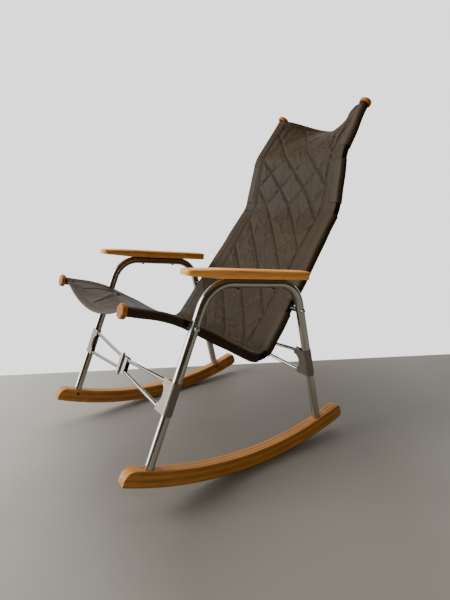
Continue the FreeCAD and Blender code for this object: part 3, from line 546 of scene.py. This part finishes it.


# Stitching: the distance to the nearest line, thinned to a thread and cut into stitches, and widened to a
# groove that gives both the relief and the painted shade in the grooves
def makeStitchGroup():
    group, start, end = shaderGroup(
        "stitching", {"Along": 0.0, "Across": 0.0, "HemLine": 0.0, "Quilted": 1.0}, ("Thread", "Groove"))
    along, quilted = start["Along"], start["Quilted"]
    across = addMath(group, "SUBTRACT", start["Across"], quilt["aside"])
    side = addMath(group, "ABSOLUTE", across)
    inside = addMath(group, "MULTIPLY", addMath(group, "LESS_THAN", side, quilt["margin"]), quilted)
    fainter = addMath(group, "MULTIPLY", inside, quilt["fainter"])
    lines = []
    for sign, where in ((1.0, inside), (-1.0, fainter)):
        place = addMath(group, "MULTIPLY_ADD", across, sign, along)
        share = addMath(group, "DIVIDE", addMath(group, "SUBTRACT", place, quilt["start"]), quilt["pitch"])
        away = addMath(group, "PINGPONG", addMath(group, "ABSOLUTE", share), 0.5)
        gap = addMath(group, "MULTIPLY", away, quilt["pitch"] * quilt["squeeze"])
        run = addMath(group, "MULTIPLY_ADD", across, -sign, along)
        lines.append((gap, run, where))
    for place in (quilt["margin"], quilt["margin"] + quilt["second"]):
        margin = addMath(group, "ABSOLUTE", addMath(group, "SUBTRACT", side, place))
        lines.append((margin, along, quilted))
    hemGap = addMath(group, "ABSOLUTE", addMath(group, "SUBTRACT", along, start["HemLine"]))
    lines.append((hemGap, across, 1.0))
    thread = groove = 0.0
    for gap, run, where in lines:
        near = addMath(group, "MULTIPLY", addMath(group, "LESS_THAN", gap, quilt["thread"]), where)
        wide = addMath(group, "SUBTRACT", 1.0, addMath(group, "DIVIDE", gap, quilt["groove"]), clamp=True)
        dash = addMath(group, "PINGPONG", run, quilt["stitch"] / 2)
        dash = addMath(group, "GREATER_THAN", dash, quilt["stitch"] * quilt["stitchGap"])
        thread = addMath(group, "MAXIMUM", thread, addMath(group, "MULTIPLY", near, dash))
        groove = addMath(group, "MAXIMUM", groove, addMath(group, "MULTIPLY", wide, where))
    feed(group, end, {"Thread": thread, "Groove": groove})
    return group


# Brown leatherette of the sling, with heights as shares of the bump's distance
leatherette = {
    "colour": (0.0215, 0.0125, 0.0055),
    "light": (0.033, 0.0205, 0.0100),
    # the dark "thread" colour is the painted shade laid into the stitched grooves; the thread itself takes
    # the light colour
    "thread": (0.006, 0.004, 0.003),
    "roughness": 0.50,
    "cloudScale": 7.0,
    "cloudRough": 0.16,
    "cloudStart": 0.08,
    "grainScale": 1300.0,
    "grain": 0.10,
    "wrinkleScale": 24.0,
    "wrinkleRate": 12.0,
    "wrinkle": -0.2,
    "groove": -0.7,
    "paintedGrooveShade": 0.9,
    "stitch": 0.3,
    "bump": 0.5,
    "bumpDistance": 0.0015,
}
cloths = {
    # Each cloth's brightness factor is painted light: the seat, lit from above, and the tunnels are lighter
    # copies of the same leatherette than the back
    "seatLeatherette": {"wrinkle": 0.6, "hemLine": 16.0, "quilted": 0.0, "specular": 0.45, "paintedLightScale": 1.15},
    "backLeatherette": {"wrinkle": 0.4, "hemLine": 1199.0, "quilted": 1.0, "specular": 0.16, "paintedLightScale": 1.0},
    "tunnelLeatherette": {"wrinkle": 0.9, "hemLine": None, "specular": 0.2, "paintedLightScale": 1.1},
}
stitchGroup = makeStitchGroup()


# Fine cells and wrinkles give the height, and the stitching cuts grooves, paints shade into them and lays
# its thread in them
def makeLeatherette(name):
    cloth = cloths[name]
    material, tree, shader, place = principled(name)
    cells = addNode(tree, "ShaderNodeTexVoronoi", {"Vector": place, "Scale": leatherette["grainScale"]},
                    feature="SMOOTH_F1").outputs["Distance"]
    cloud = addNoise(tree, place, leatherette["cloudScale"], 5.0)
    field = addNoise(tree, place, leatherette["wrinkleScale"], 5.0, 0.8)
    crease = addMath(tree, "ABSOLUTE", addMath(tree, "SUBTRACT", field, 0.5))
    crease = addMath(tree, "MULTIPLY", crease, leatherette["wrinkleRate"], clamp=True)
    crease = addMath(tree, "SUBTRACT", 1.0, crease, clamp=True)
    # the cloth's colours, brightened by its painted light
    dark, light = (tuple(cloth["paintedLightScale"] * part for part in leatherette[tone])
                   for tone in ("colour", "light"))
    colour = mixColour(tree, addRamp(tree, cloud, [(0.35, grey(0.0)), (0.75, grey(1.0))]), dark, light)
    height = addMath(tree, "MULTIPLY_ADD", cells, leatherette["grain"],
                     addMath(tree, "MULTIPLY", crease, leatherette["wrinkle"] * cloth["wrinkle"]))
    if cloth["hemLine"] is not None:
        along, across = (addNode(tree, "ShaderNodeAttribute", attribute_name=mark).outputs["Fac"]
                         for mark in ("along", "across"))
        seams = useGroup(tree, stitchGroup, {"Along": along, "Across": across, "HemLine": cloth["hemLine"],
                                             "Quilted": cloth["quilted"]})
        # painted shade in the grooves: the colour darkens toward the dark "thread" colour
        paintedShadeShare = addMath(tree, "MULTIPLY", seams["Groove"], leatherette["paintedGrooveShade"])
        colour = mixColour(tree, paintedShadeShare, colour, leatherette["thread"])
        colour = mixColour(tree, seams["Thread"], colour, leatherette["light"])
        height = addMath(tree, "MULTIPLY_ADD", seams["Groove"], leatherette["groove"], height)
        height = addMath(tree, "MULTIPLY_ADD", seams["Thread"], leatherette["stitch"], height)
    feed(tree, shader, {
        "Base Color": colour,
        "Roughness": addMath(tree, "MULTIPLY_ADD", cloud, leatherette["cloudRough"],
                             leatherette["roughness"] - leatherette["cloudStart"]),
        "Normal": addBump(tree, height, leatherette["bump"], leatherette["bumpDistance"]),
        "Specular IOR Level": cloth["specular"]})
    return material


seatLeather, backLeather, tunnelLeather = (makeLeatherette(name) for name in cloths)
print("materials made")

# The rail's route on the sitter's left, from the front knob to the top knob, and places along it
rail = {
    "route": [(240, -257, 417), (240, -144, 400), (245.5, 131, 269), (211, 376, 689), (199.5, 391, 853),
              (183, 469, 1002)],
    "bends": [350, 55, 90, 90],
    "frontBolt": 159.1,
    "rearBolt": 566.9,
    "corner": 408.4,
    "shoulder": 886.1,
    "neck": 1050.4,
    "length": 1219.2,
    "feel": 4.0,            # how far to each side its heading is measured
}


# Points along straight runs joined by tangent arcs, with the length walked at each
def bentPath(route, bends, pitch=1.0):
    route = [np.array(p, float) for p in route]
    pieces = []
    start = route[0]
    for before, corner, after, bend in zip(route[:-2], route[1:-1], route[2:], bends):
        back = (before - corner) / np.linalg.norm(before - corner)
        ahead = (after - corner) / np.linalg.norm(after - corner)
        half = math.acos(float(back @ ahead)) / 2
        first = corner + back * bend / math.tan(half)
        centre = corner + (back + ahead) / np.linalg.norm(back + ahead) * bend / math.sin(half)
        steps = max(2, int(np.linalg.norm(first - start) / pitch))
        pieces.append(start + (first - start) * np.linspace(0, 1, steps, endpoint=False)[:, None])
        sweep = math.pi - 2 * half
        angle = np.linspace(0, sweep, max(3, int(sweep * bend / pitch)), endpoint=False)[:, None]
        outward = (first - centre) / bend
        pieces.append(centre + bend * (outward * np.cos(angle) - back * np.sin(angle)))
        start = corner + ahead * bend / math.tan(half)
    steps = max(2, int(np.linalg.norm(route[-1] - start) / pitch))
    pieces.append(start + (route[-1] - start) * np.linspace(0, 1, steps)[:, None])
    points = np.concatenate(pieces)
    walked = np.concatenate([[0], np.cumsum(np.linalg.norm(np.diff(points, axis=0), axis=1))])
    return points, walked


railPoints, railWalked = bentPath(rail["route"], rail["bends"])


# The rail's point, its heading in the side view and the side that faces the floor, at each distance
def onRail(distance):
    distance = np.asarray(distance, float)

    def at(d):
        return np.stack([np.interp(d, railWalked, railPoints[:, k]) for k in range(3)], -1)

    heading = at(distance + rail["feel"]) - at(distance - rail["feel"])
    heading[..., 0] = 0
    heading /= np.linalg.norm(heading, axis=-1, keepdims=True)
    under = np.stack([0 * heading[..., 0], heading[..., 2], -heading[..., 1]], -1)
    return at(distance), heading, under


# The sling between its rails, in millimetres
sling = {
    "sag": 8.0,             # how deep its middle hangs below the rails, away from the hems
    "frontHem": 1.0,        # along the rail
    "frontSag": 38.0,
    "frontCut": 5.0,        # how far the front hem's middle stands behind its ends
    "topHem": 1213.0,
    "topSag": 86.0,
    "topRise": 8.0,         # how far the top hem's middle stands above its ends
    "slack": 150.0,         # length over which the hems' slack dies away
    "easing": 28.0,         # how far the middle rounds off the rails' bends
    "easingSteps": 1200,
    "endPoints": 8,         # points of the rail that give the heading of its ends
    "thickness": 2.2,
    "overRail": 6.0,        # how far the cloth reaches past the rail's centre in the gaps
    "edgeRun": 3.0,         # length over which its edge moves out from a tunnel
    "parting": 0.2,         # from the corner's line to each panel
    "cornerFade": 12.0,     # length over which both panels' relief dies away toward that line
}

# The tunnels that hold the sling on its rails, in millimetres
tunnel = {
    "sleeve": 11.6,         # outside radius
    "wall": 1.0,
    "seam": 24.0,           # from the rail's centre to the sewn line
    "lap": 2.0,             # how far the panel reaches in past that line
    "girth": 91.0,          # width of the strip that makes a tunnel
    "frontEnd": 0.5,
    "topEnd": 4.0,
    "boltGap": 18.0,        # from a bolt to the tunnels beside it
    "cornerGap": 17.0,
    "bendGap": 19.0,
    "pitch": 3.0,
    "flatColumns": 7,
    "bentColumns": 30,
    "slack": 0.6,
    "flare": 0.3,           # how much wider a tunnel stands at its ends
    "flareWidth": 6.0,
    "ripple": 0.8,
    "upperGap": -0.25,
    "lowerGap": 2.8,        # the lower layer hangs free of the upper one
}
tunnelRuns = {
    "seat": [(tunnel["frontEnd"], rail["frontBolt"] - tunnel["boltGap"]),
             (rail["frontBolt"] + tunnel["boltGap"], rail["corner"] - tunnel["cornerGap"])],
    "back": [(rail["corner"] + tunnel["cornerGap"], rail["rearBolt"] - tunnel["boltGap"]),
             (rail["rearBolt"] + tunnel["boltGap"], rail["shoulder"] - tunnel["bendGap"]),
             (rail["shoulder"] + tunnel["bendGap"], rail["neck"] - tunnel["bendGap"]),
             (rail["neck"] + tunnel["bendGap"], rail["length"] - tunnel["topEnd"])],
}


# The rail's side view averaged over a bell-shaped window, for the middle of the cloth
def easedPath():
    reach = int(3 * sling["easing"])
    step = railWalked[-1] / sling["easingSteps"]
    places = np.arange(-reach, railWalked[-1] + reach, step)
    window = np.exp(-0.5 * (np.arange(-reach, reach, step) / sling["easing"]) ** 2)
    window /= window.sum()
    n = sling["endPoints"]
    eased = []
    for k in (1, 2):
        line = np.interp(places, railWalked, railPoints[:, k])
        first = (railPoints[n, k] - railPoints[0, k]) / railWalked[n]
        last = (railPoints[-1, k] - railPoints[-1 - n, k]) / (railWalked[-1] - railWalked[-1 - n])
        line += first * np.minimum(places, 0) + last * np.maximum(places - railWalked[-1], 0)
        eased.append(np.convolve(line, window, "same"))
    return places, *eased


easedPlaces, easedY, easedZ = easedPath()


# From the least to one over the length, and level on both sides of it
def rise(distance, length, least=0.0):
    return np.clip(distance / length, least, 1)


# Share of the front hem's and of the top hem's slack at each distance
def slackAt(s):
    front = (1 - rise(s - sling["frontHem"], sling["slack"])) ** 2
    top = (1 - rise(sling["topHem"] - s, sling["slack"])) ** 2
    return front, top


# Depth of the sling's middle: even, and deeper toward the slack hems
def sagAt(s):
    front, top = slackAt(s)
    return (sling["sag"] + (sling["frontSag"] - sling["sag"]) * front
            + (sling["topSag"] - sling["sag"]) * top)


# How far the cloth passes in front of the rail's centre: it leaves the tunnel along a tangent
def liftAt(s, half):
    slope = 2 * (sagAt(s) * (1 - slackAt(s)[1]) + tunnel["sleeve"]) / half
    return tunnel["sleeve"] * np.sqrt(1 + slope ** 2)


# The sling's curve across: a parabola, and toward the slack top hem a wave, level at the rails
def hangAt(s, share):
    top = slackAt(s)[1]
    share = np.clip(share, -1, 1)
    return (1 - share ** 2) * (1 - top) + (0.5 + 0.5 * np.cos(math.pi * share)) * top


# The smooth sling: it curves between the tunnels, and its middle rounds off the rails' bends
def slingBase(s, x):
    point, heading, under = onRail(s)
    half = point[..., 0]
    hang = hangAt(s, x / half)
    lift = liftAt(s, half)
    front, top = slackAt(s)
    surface = point + under * (-lift + (lift + sagAt(s)) * hang)[..., None]
    surface += heading * ((sling["frontCut"] * front + sling["topRise"] * top) * hang)[..., None]
    surface[..., 1] += (np.interp(s, easedPlaces, easedY) - point[..., 1]) * hang
    surface[..., 2] += (np.interp(s, easedPlaces, easedZ) - point[..., 2]) * hang
    surface[..., 0] = x
    return surface, under


# Sum of sine waves in random directions, phases and lengths, over places given in wave lengths
def smoothNoise(a, b, seed, count=14, low=0.4, high=2.0):
    rng = np.random.default_rng(seed)
    total = np.zeros(np.broadcast(a, b).shape)
    for turn, phase, rate in zip(rng.uniform(0, math.tau, count), rng.uniform(0, math.tau, count),
                                 rng.uniform(low, high, count)):
        total += np.sin((a * math.cos(turn) + b * math.sin(turn)) * rate + phase)
    return total / math.sqrt(count)


# A rounded bump: one in the middle, fading over the width
def bell(distance, width):
    return np.exp(-(distance / width) ** 2)


# Sharp-backed folds where a smooth field passes through nought
def ridges(field):
    return (1 - np.minimum(np.abs(field), 1)) ** 3


# Height of the quilting: soft puffs between stitched valleys, and a valley along each margin
def quiltRelief(s, x):
    x = x - quilt["aside"]
    gaps = []
    for sign in (1, -1):
        place = (s + sign * x - quilt["start"]) / quilt["pitch"]
        gaps.append(np.abs(place - np.round(place)) * quilt["pitch"] * quilt["squeeze"])
    inside = rise(quilt["margin"] - np.abs(x), quilt["fadeIn"])
    edge = np.abs(np.abs(x) - quilt["margin"])
    valley = inside * np.maximum(bell(gaps[0], quilt["valleyWidth"]),
                                 quilt["fainter"] * bell(gaps[1], quilt["valleyWidth"]))
    valley = np.maximum(valley, quilt["marginValley"] * bell(edge, quilt["marginWidth"]))
    nearest = np.minimum(np.minimum(*gaps), np.minimum(edge, quilt["puffReach"]))
    puff = inside * nearest / quilt["puffReach"]
    small = ridges(1.4 * smoothNoise((s + x) / 9, (s - x) / 30, seed=51, count=12, low=0.6, high=1.6))
    return (quilt["puff"] * np.sqrt(puff) - quilt["valley"] * valley
            + quilt["crumple"] * small * inside * np.clip(puff * 3, 0, 1))


# Quads of a grid, as index rows
def gridFaces(rows, columns, closed=False):
    row = np.arange(rows - 1)[:, None] * columns
    column = np.arange(columns if closed else columns - 1)[None, :]
    following = (column + 1) % columns
    return np.stack([row + column, row + following, row + columns + following, row + columns + column],
                    -1).reshape(-1, 4)


# Turns all faces over if they look against the given directions at their first corners
def faceOutward(points, faces, directions):
    a, b, c = (points[faces[:, k]] for k in (0, 1, 2))
    facing = (np.cross(b - a, c - a) * directions[faces[:, 0]]).sum()
    return faces if facing > 0 else faces[:, ::-1]


# A smooth-shaded wall of the given depth from points in metres, with float marks for its material
def surfaceMesh(name, points, faces, material, marks, depth):
    mesh = bpy.data.meshes.new(name)
    mesh.from_pydata(points.tolist(), [], faces.tolist())
    for label, values in marks.items():
        mark = mesh.attributes.new(label, "FLOAT", "POINT")
        mark.data.foreach_set("value", values.reshape(-1).astype(np.float32))
    mesh.polygons.foreach_set("use_smooth", np.ones(len(mesh.polygons), bool))
    mesh.update()
    mesh.materials.append(material)
    obj = bpy.data.objects.new(name, mesh)
    bpy.context.scene.collection.objects.link(obj)
    wall = obj.modifiers.new("thickness", "SOLIDIFY")
    wall.thickness = depth / 1000
    wall.offset = -1.0
    wall.use_even_offset = False
    return obj


# Under a tunnel the cloth ends past its seam; in the gaps it lies over the rail
def edgeInset(s):
    inset = np.full(s.shape, -sling["overRail"])
    tucked = tunnel["seam"] - tunnel["lap"]
    for start, end in tunnelRuns["seat"] + tunnelRuns["back"]:
        under = rise(s - start, sling["edgeRun"]) * rise(end - s, sling["edgeRun"])
        inset = np.maximum(inset, (tucked + sling["overRail"]) * under - sling["overRail"])
    return inset


# A panel from rail to rail; past a rail's centre the cloth drops round the tube
def slingPanel(name, span, grid, relief, material):
    s, t = np.meshgrid(np.linspace(*span, grid[0]), np.linspace(-1, 1, grid[1]), indexing="ij")
    half = onRail(s)[0][..., 0]
    x = t * (half - edgeInset(s))
    surface, under = slingBase(s, x)
    over = np.maximum(np.abs(x) - half, 0)
    drop = tunnel["sleeve"] - np.sqrt(tunnel["sleeve"] ** 2 - over ** 2)
    surface = toWorld(surface + under * (drop - relief(s, x, t))[..., None]).reshape(-1, 3)
    faces = faceOutward(surface, gridFaces(*s.shape), -lean(under).reshape(-1, 3))
    return surfaceMesh(name, surface, faces, material, {"along": s, "across": x}, sling["thickness"])


# Creases that the photograph shows, as places along and across the cloth, each with its depth
seatCreases = [
    ([(12, -184), (30, -161), (57, -164), (78, -170), (138, -173)], 1.6),
    ([(9, -190), (18, -155), (39, -122), (54, -110), (69, -77)], 1.8),
    ([(39, -41), (54, -53), (69, -68), (87, -86), (117, -122), (144, -164)], 3.0),
    ([(75, -62), (90, -56), (99, -38)], 1.8),
    ([(48, -20), (72, -11), (81, 13)], 2.2),
    ([(30, 28), (42, 37)], 1.5),
    ([(12, 184), (34, 150), (60, 118), (96, 102)], 2.0),
    ([(110, 60), (128, 20), (150, -12)], 1.8),
    ([(180, -130), (215, -96), (262, -80)], 1.8),
    ([(190, 140), (235, 100), (290, 84)], 2.0),
]
backCreases = [
    ([(1114, 122), (1094, 132), (1062, 158)], 2.2),
    ([(1098, 116), (1084, 108), (1066, 96)], 1.8),
    ([(1050, 160), (1032, 144), (1020, 118)], 1.8),
    ([(1174, -114), (1170, -86), (1168, -60)], 1.8),
    ([(1134, -74), (1146, -56)], 1.5),
    ([(1186, -24), (1176, 26), (1152, 64)], 1.8),
    ([(470, 60), (466, 20), (474, -16)], 1.4),
    ([(420, 236), (428, 206), (422, 172)], 3.4),
    ([(432, 228), (446, 202), (438, 178)], 2.8),
    ([(418, 160), (430, 130), (424, 92)], 2.4),
]
crease = {
    "valleyWidth": 4.5,
    "fold": 0.8,            # height of the fold beside a valley, as a share of the valley's depth
    "foldPlace": 9.0,
    "foldWidth": 7.0,
    "foldReach": 25.0,
}


# Distance to a line of straight runs, and how far on the hem's side of it each point lies
def toLine(s, x, line):
    line = np.array(line, float)
    nearest, front = np.full(s.shape, np.inf), np.zeros(s.shape)
    for start, end in zip(line[:-1], line[1:]):
        run = end - start
        share = np.clip(((s - start[0]) * run[0] + (x - start[1]) * run[1]) / (run @ run), 0, 1)
        away = np.hypot(s - start[0] - share * run[0], x - start[1] - share * run[1])
        side = np.sign((s - start[0]) * run[1] - (x - start[1]) * run[0]) * (1 if run[1] < 0 else -1)
        front = np.where(away < nearest, side * away, front)
        nearest = np.minimum(nearest, away)
    return nearest, front


# Each crease is a narrow valley with a softer fold standing beside it
def creaseRelief(s, x, creases):
    total = np.zeros(s.shape)
    for line, depth in creases:
        away, front = toLine(s, x, line)
        past = np.maximum(away - np.abs(front), 0)
        fold = bell(np.hypot(front - crease["foldPlace"], past), crease["foldWidth"])
        valley = bell(away, crease["valleyWidth"])
        total += depth * (crease["fold"] * fold * (away < crease["foldReach"]) - valley)
    return total


# Folds that fan out from one place of each rail
seatFan = {"place": -10.0, "seed": 61, "count": 7, "length": 160, "sparse": 1.3, "height": 3.0,
           "start": 40, "reach": 360, "fade": 180}
backFan = {"place": rail["corner"], "seed": 71, "count": 9, "length": 90, "sparse": 1.2, "height": 3.2,
           "start": 20, "reach": 110, "fade": 80}


# Ridges of noise over the angle round the fan's place, so that they run outward from it
def fanRelief(s, x, fan):
    half = onRail(s)[0][..., 0]
    total = np.zeros(s.shape)
    for sign, seed in ((1, fan["seed"]), (-1, fan["seed"] + 1)):
        away = np.hypot(s - fan["place"], sign * x - half)
        turn = np.arctan2(s - fan["place"], half - sign * x)
        folds = ridges(fan["sparse"] * smoothNoise(turn * fan["count"], away / fan["length"], seed, count=8,
                                                   low=0.7, high=1.4))
        total += folds * rise(away, fan["start"]) * rise(fan["reach"] - away, fan["fade"])
    return fan["height"] * total


# Hems: a doubled band that ends at a sewn valley
hem = {
    "band": 14.0,
    "height": 1.0,
    "step": 3.0,
    "valley": 1.2,
    "valleyWidth": 3.0,
    "rolled": 4.0,          # how far the front hem's edge is rolled under
    "rolledRun": 6.0,
}


# The band's height over the distance inside its sewn line
def hemRelief(inside):
    return hem["height"] * rise(inside, hem["step"]) - hem["valley"] * bell(inside, hem["valleyWidth"])


# Softer folds of the two panels: heights and lengths in millimetres
seatFolds = {
    "swell": 1.6,
    "small": 1.4,
    "smallStart": 20.0,
    "edgeRate": 7,          # how fast the relief rises from the rails to the middle
    "hemLeast": 0.25,
    "hemRun": 20.0,
}
backFolds = {
    "swell": 1.0,
    "small": 1.2,
    "edgeRate": 9,
    "quiltStart": 424.0,
    "quiltStartRun": 10.0,
    "quiltEnd": 4.0,        # before the top hem's line
    "quiltEndRun": 8.0,
    "slackStart": 1070.0,
    "slackRun": 90.0,
    "slackLeast": 0.15,
    "slackEndRun": 30.0,
    "beside": 1.4,          # folds that run along the rails near the slack top
    "besidePitch": 26.0,
    "besideRun": 14.0,
    "besideReach": 90.0,
    "besideFade": 40.0,
    "across": 1.6,          # folds of the top's middle
    "acrossStart": 50.0,
    "acrossRun": 40.0,
}


# Creases and soft folds that fan out from the front knobs, and a hem band
def seatRelief(s, x, t):
    inside = s - sling["frontHem"]
    total = seatFolds["swell"] * smoothNoise(s / 40 + np.abs(x) / 70, x / 120, seed=21, count=9, low=0.5,
                                             high=1.5)
    small = ridges(1.5 * smoothNoise((s + x) / 30, (s - x) / 90, seed=25, count=9, low=0.5, high=1.4))
    total += seatFolds["small"] * small * (s > seatFolds["smallStart"])
    total += fanRelief(s, x, seatFan) + creaseRelief(s, x, seatCreases)
    total *= np.clip((1 - np.abs(t)) * seatFolds["edgeRate"], 0, 1)
    total *= rise(inside, seatFolds["hemRun"], seatFolds["hemLeast"])
    total *= rise(rail["corner"] - s, sling["cornerFade"])
    rolled = (1 - rise(inside, hem["rolledRun"])) ** 2
    return total + hemRelief(hem["band"] - inside) - hem["rolled"] * rolled


# Quilting, folds beside the rails near the slack top and a hem band
def backRelief(s, x, t):
    line = sling["topHem"] - hem["band"]
    beside = onRail(s)[0][..., 0] - np.abs(x)
    slack = (rise(s - backFolds["slackStart"], backFolds["slackRun"])
             * rise(line - s, backFolds["slackEndRun"], backFolds["slackLeast"]))
    total = backFolds["swell"] * smoothNoise(s / 45, x / 60, seed=31, count=10, low=0.5, high=1.5)
    small = ridges(1.5 * smoothNoise((s - x) / 70, (s + x) / 22, seed=33, count=10, low=0.5, high=1.5))
    total += backFolds["small"] * small + fanRelief(s, x, backFan) + creaseRelief(s, x, backCreases)
    total *= np.clip((1 - np.abs(t)) * backFolds["edgeRate"], 0, 1)
    total += quiltRelief(s, x) * (rise(line - backFolds["quiltEnd"] - s, backFolds["quiltEndRun"])
                                  * rise(s - backFolds["quiltStart"], backFolds["quiltStartRun"]))
    wave = np.cos(math.tau * beside / backFolds["besidePitch"] + 0.8 * smoothNoise(s / 40, x / 50, seed=35))
    total += (backFolds["beside"] * slack * wave * rise(beside, backFolds["besideRun"])
              * rise(backFolds["besideReach"] - beside, backFolds["besideFade"]))
    folds = ridges(1.4 * smoothNoise(s / 9, x / 70, seed=37, count=8, low=0.6, high=1.3))
    total += (backFolds["across"] * slack * folds
              * rise(beside - backFolds["acrossStart"], backFolds["acrossRun"]))
    total *= rise(s - rail["corner"], sling["cornerFade"])
    return total + hemRelief(s - line)


# One covered length of a rail: two straight layers from the seam, joined by an arc round the tube
def tunnelStretch(start, end, side, seed):
    flat, bent = tunnel["flatColumns"], tunnel["bentColumns"]
    places = np.linspace(start, end, max(8, int((end - start) / tunnel["pitch"])))
    s, column = np.meshgrid(places, np.arange(2 * flat + bent), indexing="ij")
    point, heading, under = onRail(s)
    half = point[..., 0]
    lift = liftAt(s, half)
    inward = tunnel["seam"]
    down = -lift + (lift + sagAt(s)) * hangAt(s, (half - inward) / half)
    ends = bell(s - start, tunnel["flareWidth"]) + bell(s - end, tunnel["flareWidth"])
    slack = smoothNoise(s / 12, column / 5, seed, count=12, low=0.4, high=1.3)
    radius = tunnel["sleeve"] + tunnel["slack"] * slack + tunnel["flare"] * ends
    reach = np.arccos(radius / np.hypot(inward, down))
    turn = np.arctan2(down, inward) - reach - (math.tau - 2 * reach) * rise(column - flat, bent - 1)
    a, b = radius * np.cos(turn), radius * np.sin(turn)
    upper = np.clip(1 - column / flat, 0, 1)
    lower = rise(column - flat - bent + 1, flat)
    ripple = tunnel["ripple"] * smoothNoise(s / 10, column / 3, seed + 7, count=10, low=0.5, high=1.5)
    a += (inward - a) * (upper + lower)
    b += ((down + tunnel["upperGap"] - b) * upper + (down + tunnel["lowerGap"] - b) * lower
          + ripple * (lower * (1 - lower) * 4))
    surface = point + under * b[..., None]
    surface[..., 0] = side * (half - a)
    centre = point * (side, 1, 1)
    surface, centre = toWorld(surface).reshape(-1, 3), toWorld(centre).reshape(-1, 3)
    return surface, faceOutward(surface, gridFaces(*s.shape, closed=True), surface - centre)


# Cloth wrapped round the rail over each of the stretches
def tunnelPiece(name, stretches, side, seed):
    parts, faces = [], []
    base = 0
    for start, end in stretches:
        surface, quads = tunnelStretch(start, end, side, seed)
        parts.append(surface)
        faces.append(quads + base)
        base += len(surface)
    return surfaceMesh(name, np.concatenate(parts), np.concatenate(faces), tunnelLeather, {}, tunnel["wall"])


# The panels' grids, their flat sizes in metres, and where and how far they narrow as the chair folds
panels = {
    "slingSeat": {"span": (sling["frontHem"], rail["corner"] - sling["parting"]), "grid": (150, 171),
                  "relief": seatRelief, "material": seatLeather, "node": "sling_seat_panel",
                  "flat": (0.47, 0.41), "area": 0.187, "middle": 0.2428, "keep": 0.386},
    "slingBack": {"span": (rail["corner"] + sling["parting"], sling["topHem"]), "grid": (290, 161),
                  "relief": backRelief, "material": backLeather, "node": "sling_back_panel",
                  "flat": (0.47, 0.82), "area": 0.343, "middle": 0.213, "keep": 0.30},
}
for name, panel in panels.items():
    piece = slingPanel(name, panel["span"], panel["grid"], panel["relief"], panel["material"])
    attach(piece, "left_side")
    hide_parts(panel["node"])
    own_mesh(piece)
for side, sign in (("left", 1), ("right", -1)):
    for stem, seed in (("seat", 41), ("back", 43)):
        piece = tunnelPiece(stem + "Tunnel" + side.capitalize(), tunnelRuns[stem], sign, seed + sign)
        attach(piece, side + "_side")
        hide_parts("%s_tunnels_%s" % (stem, side))
print("sling made")
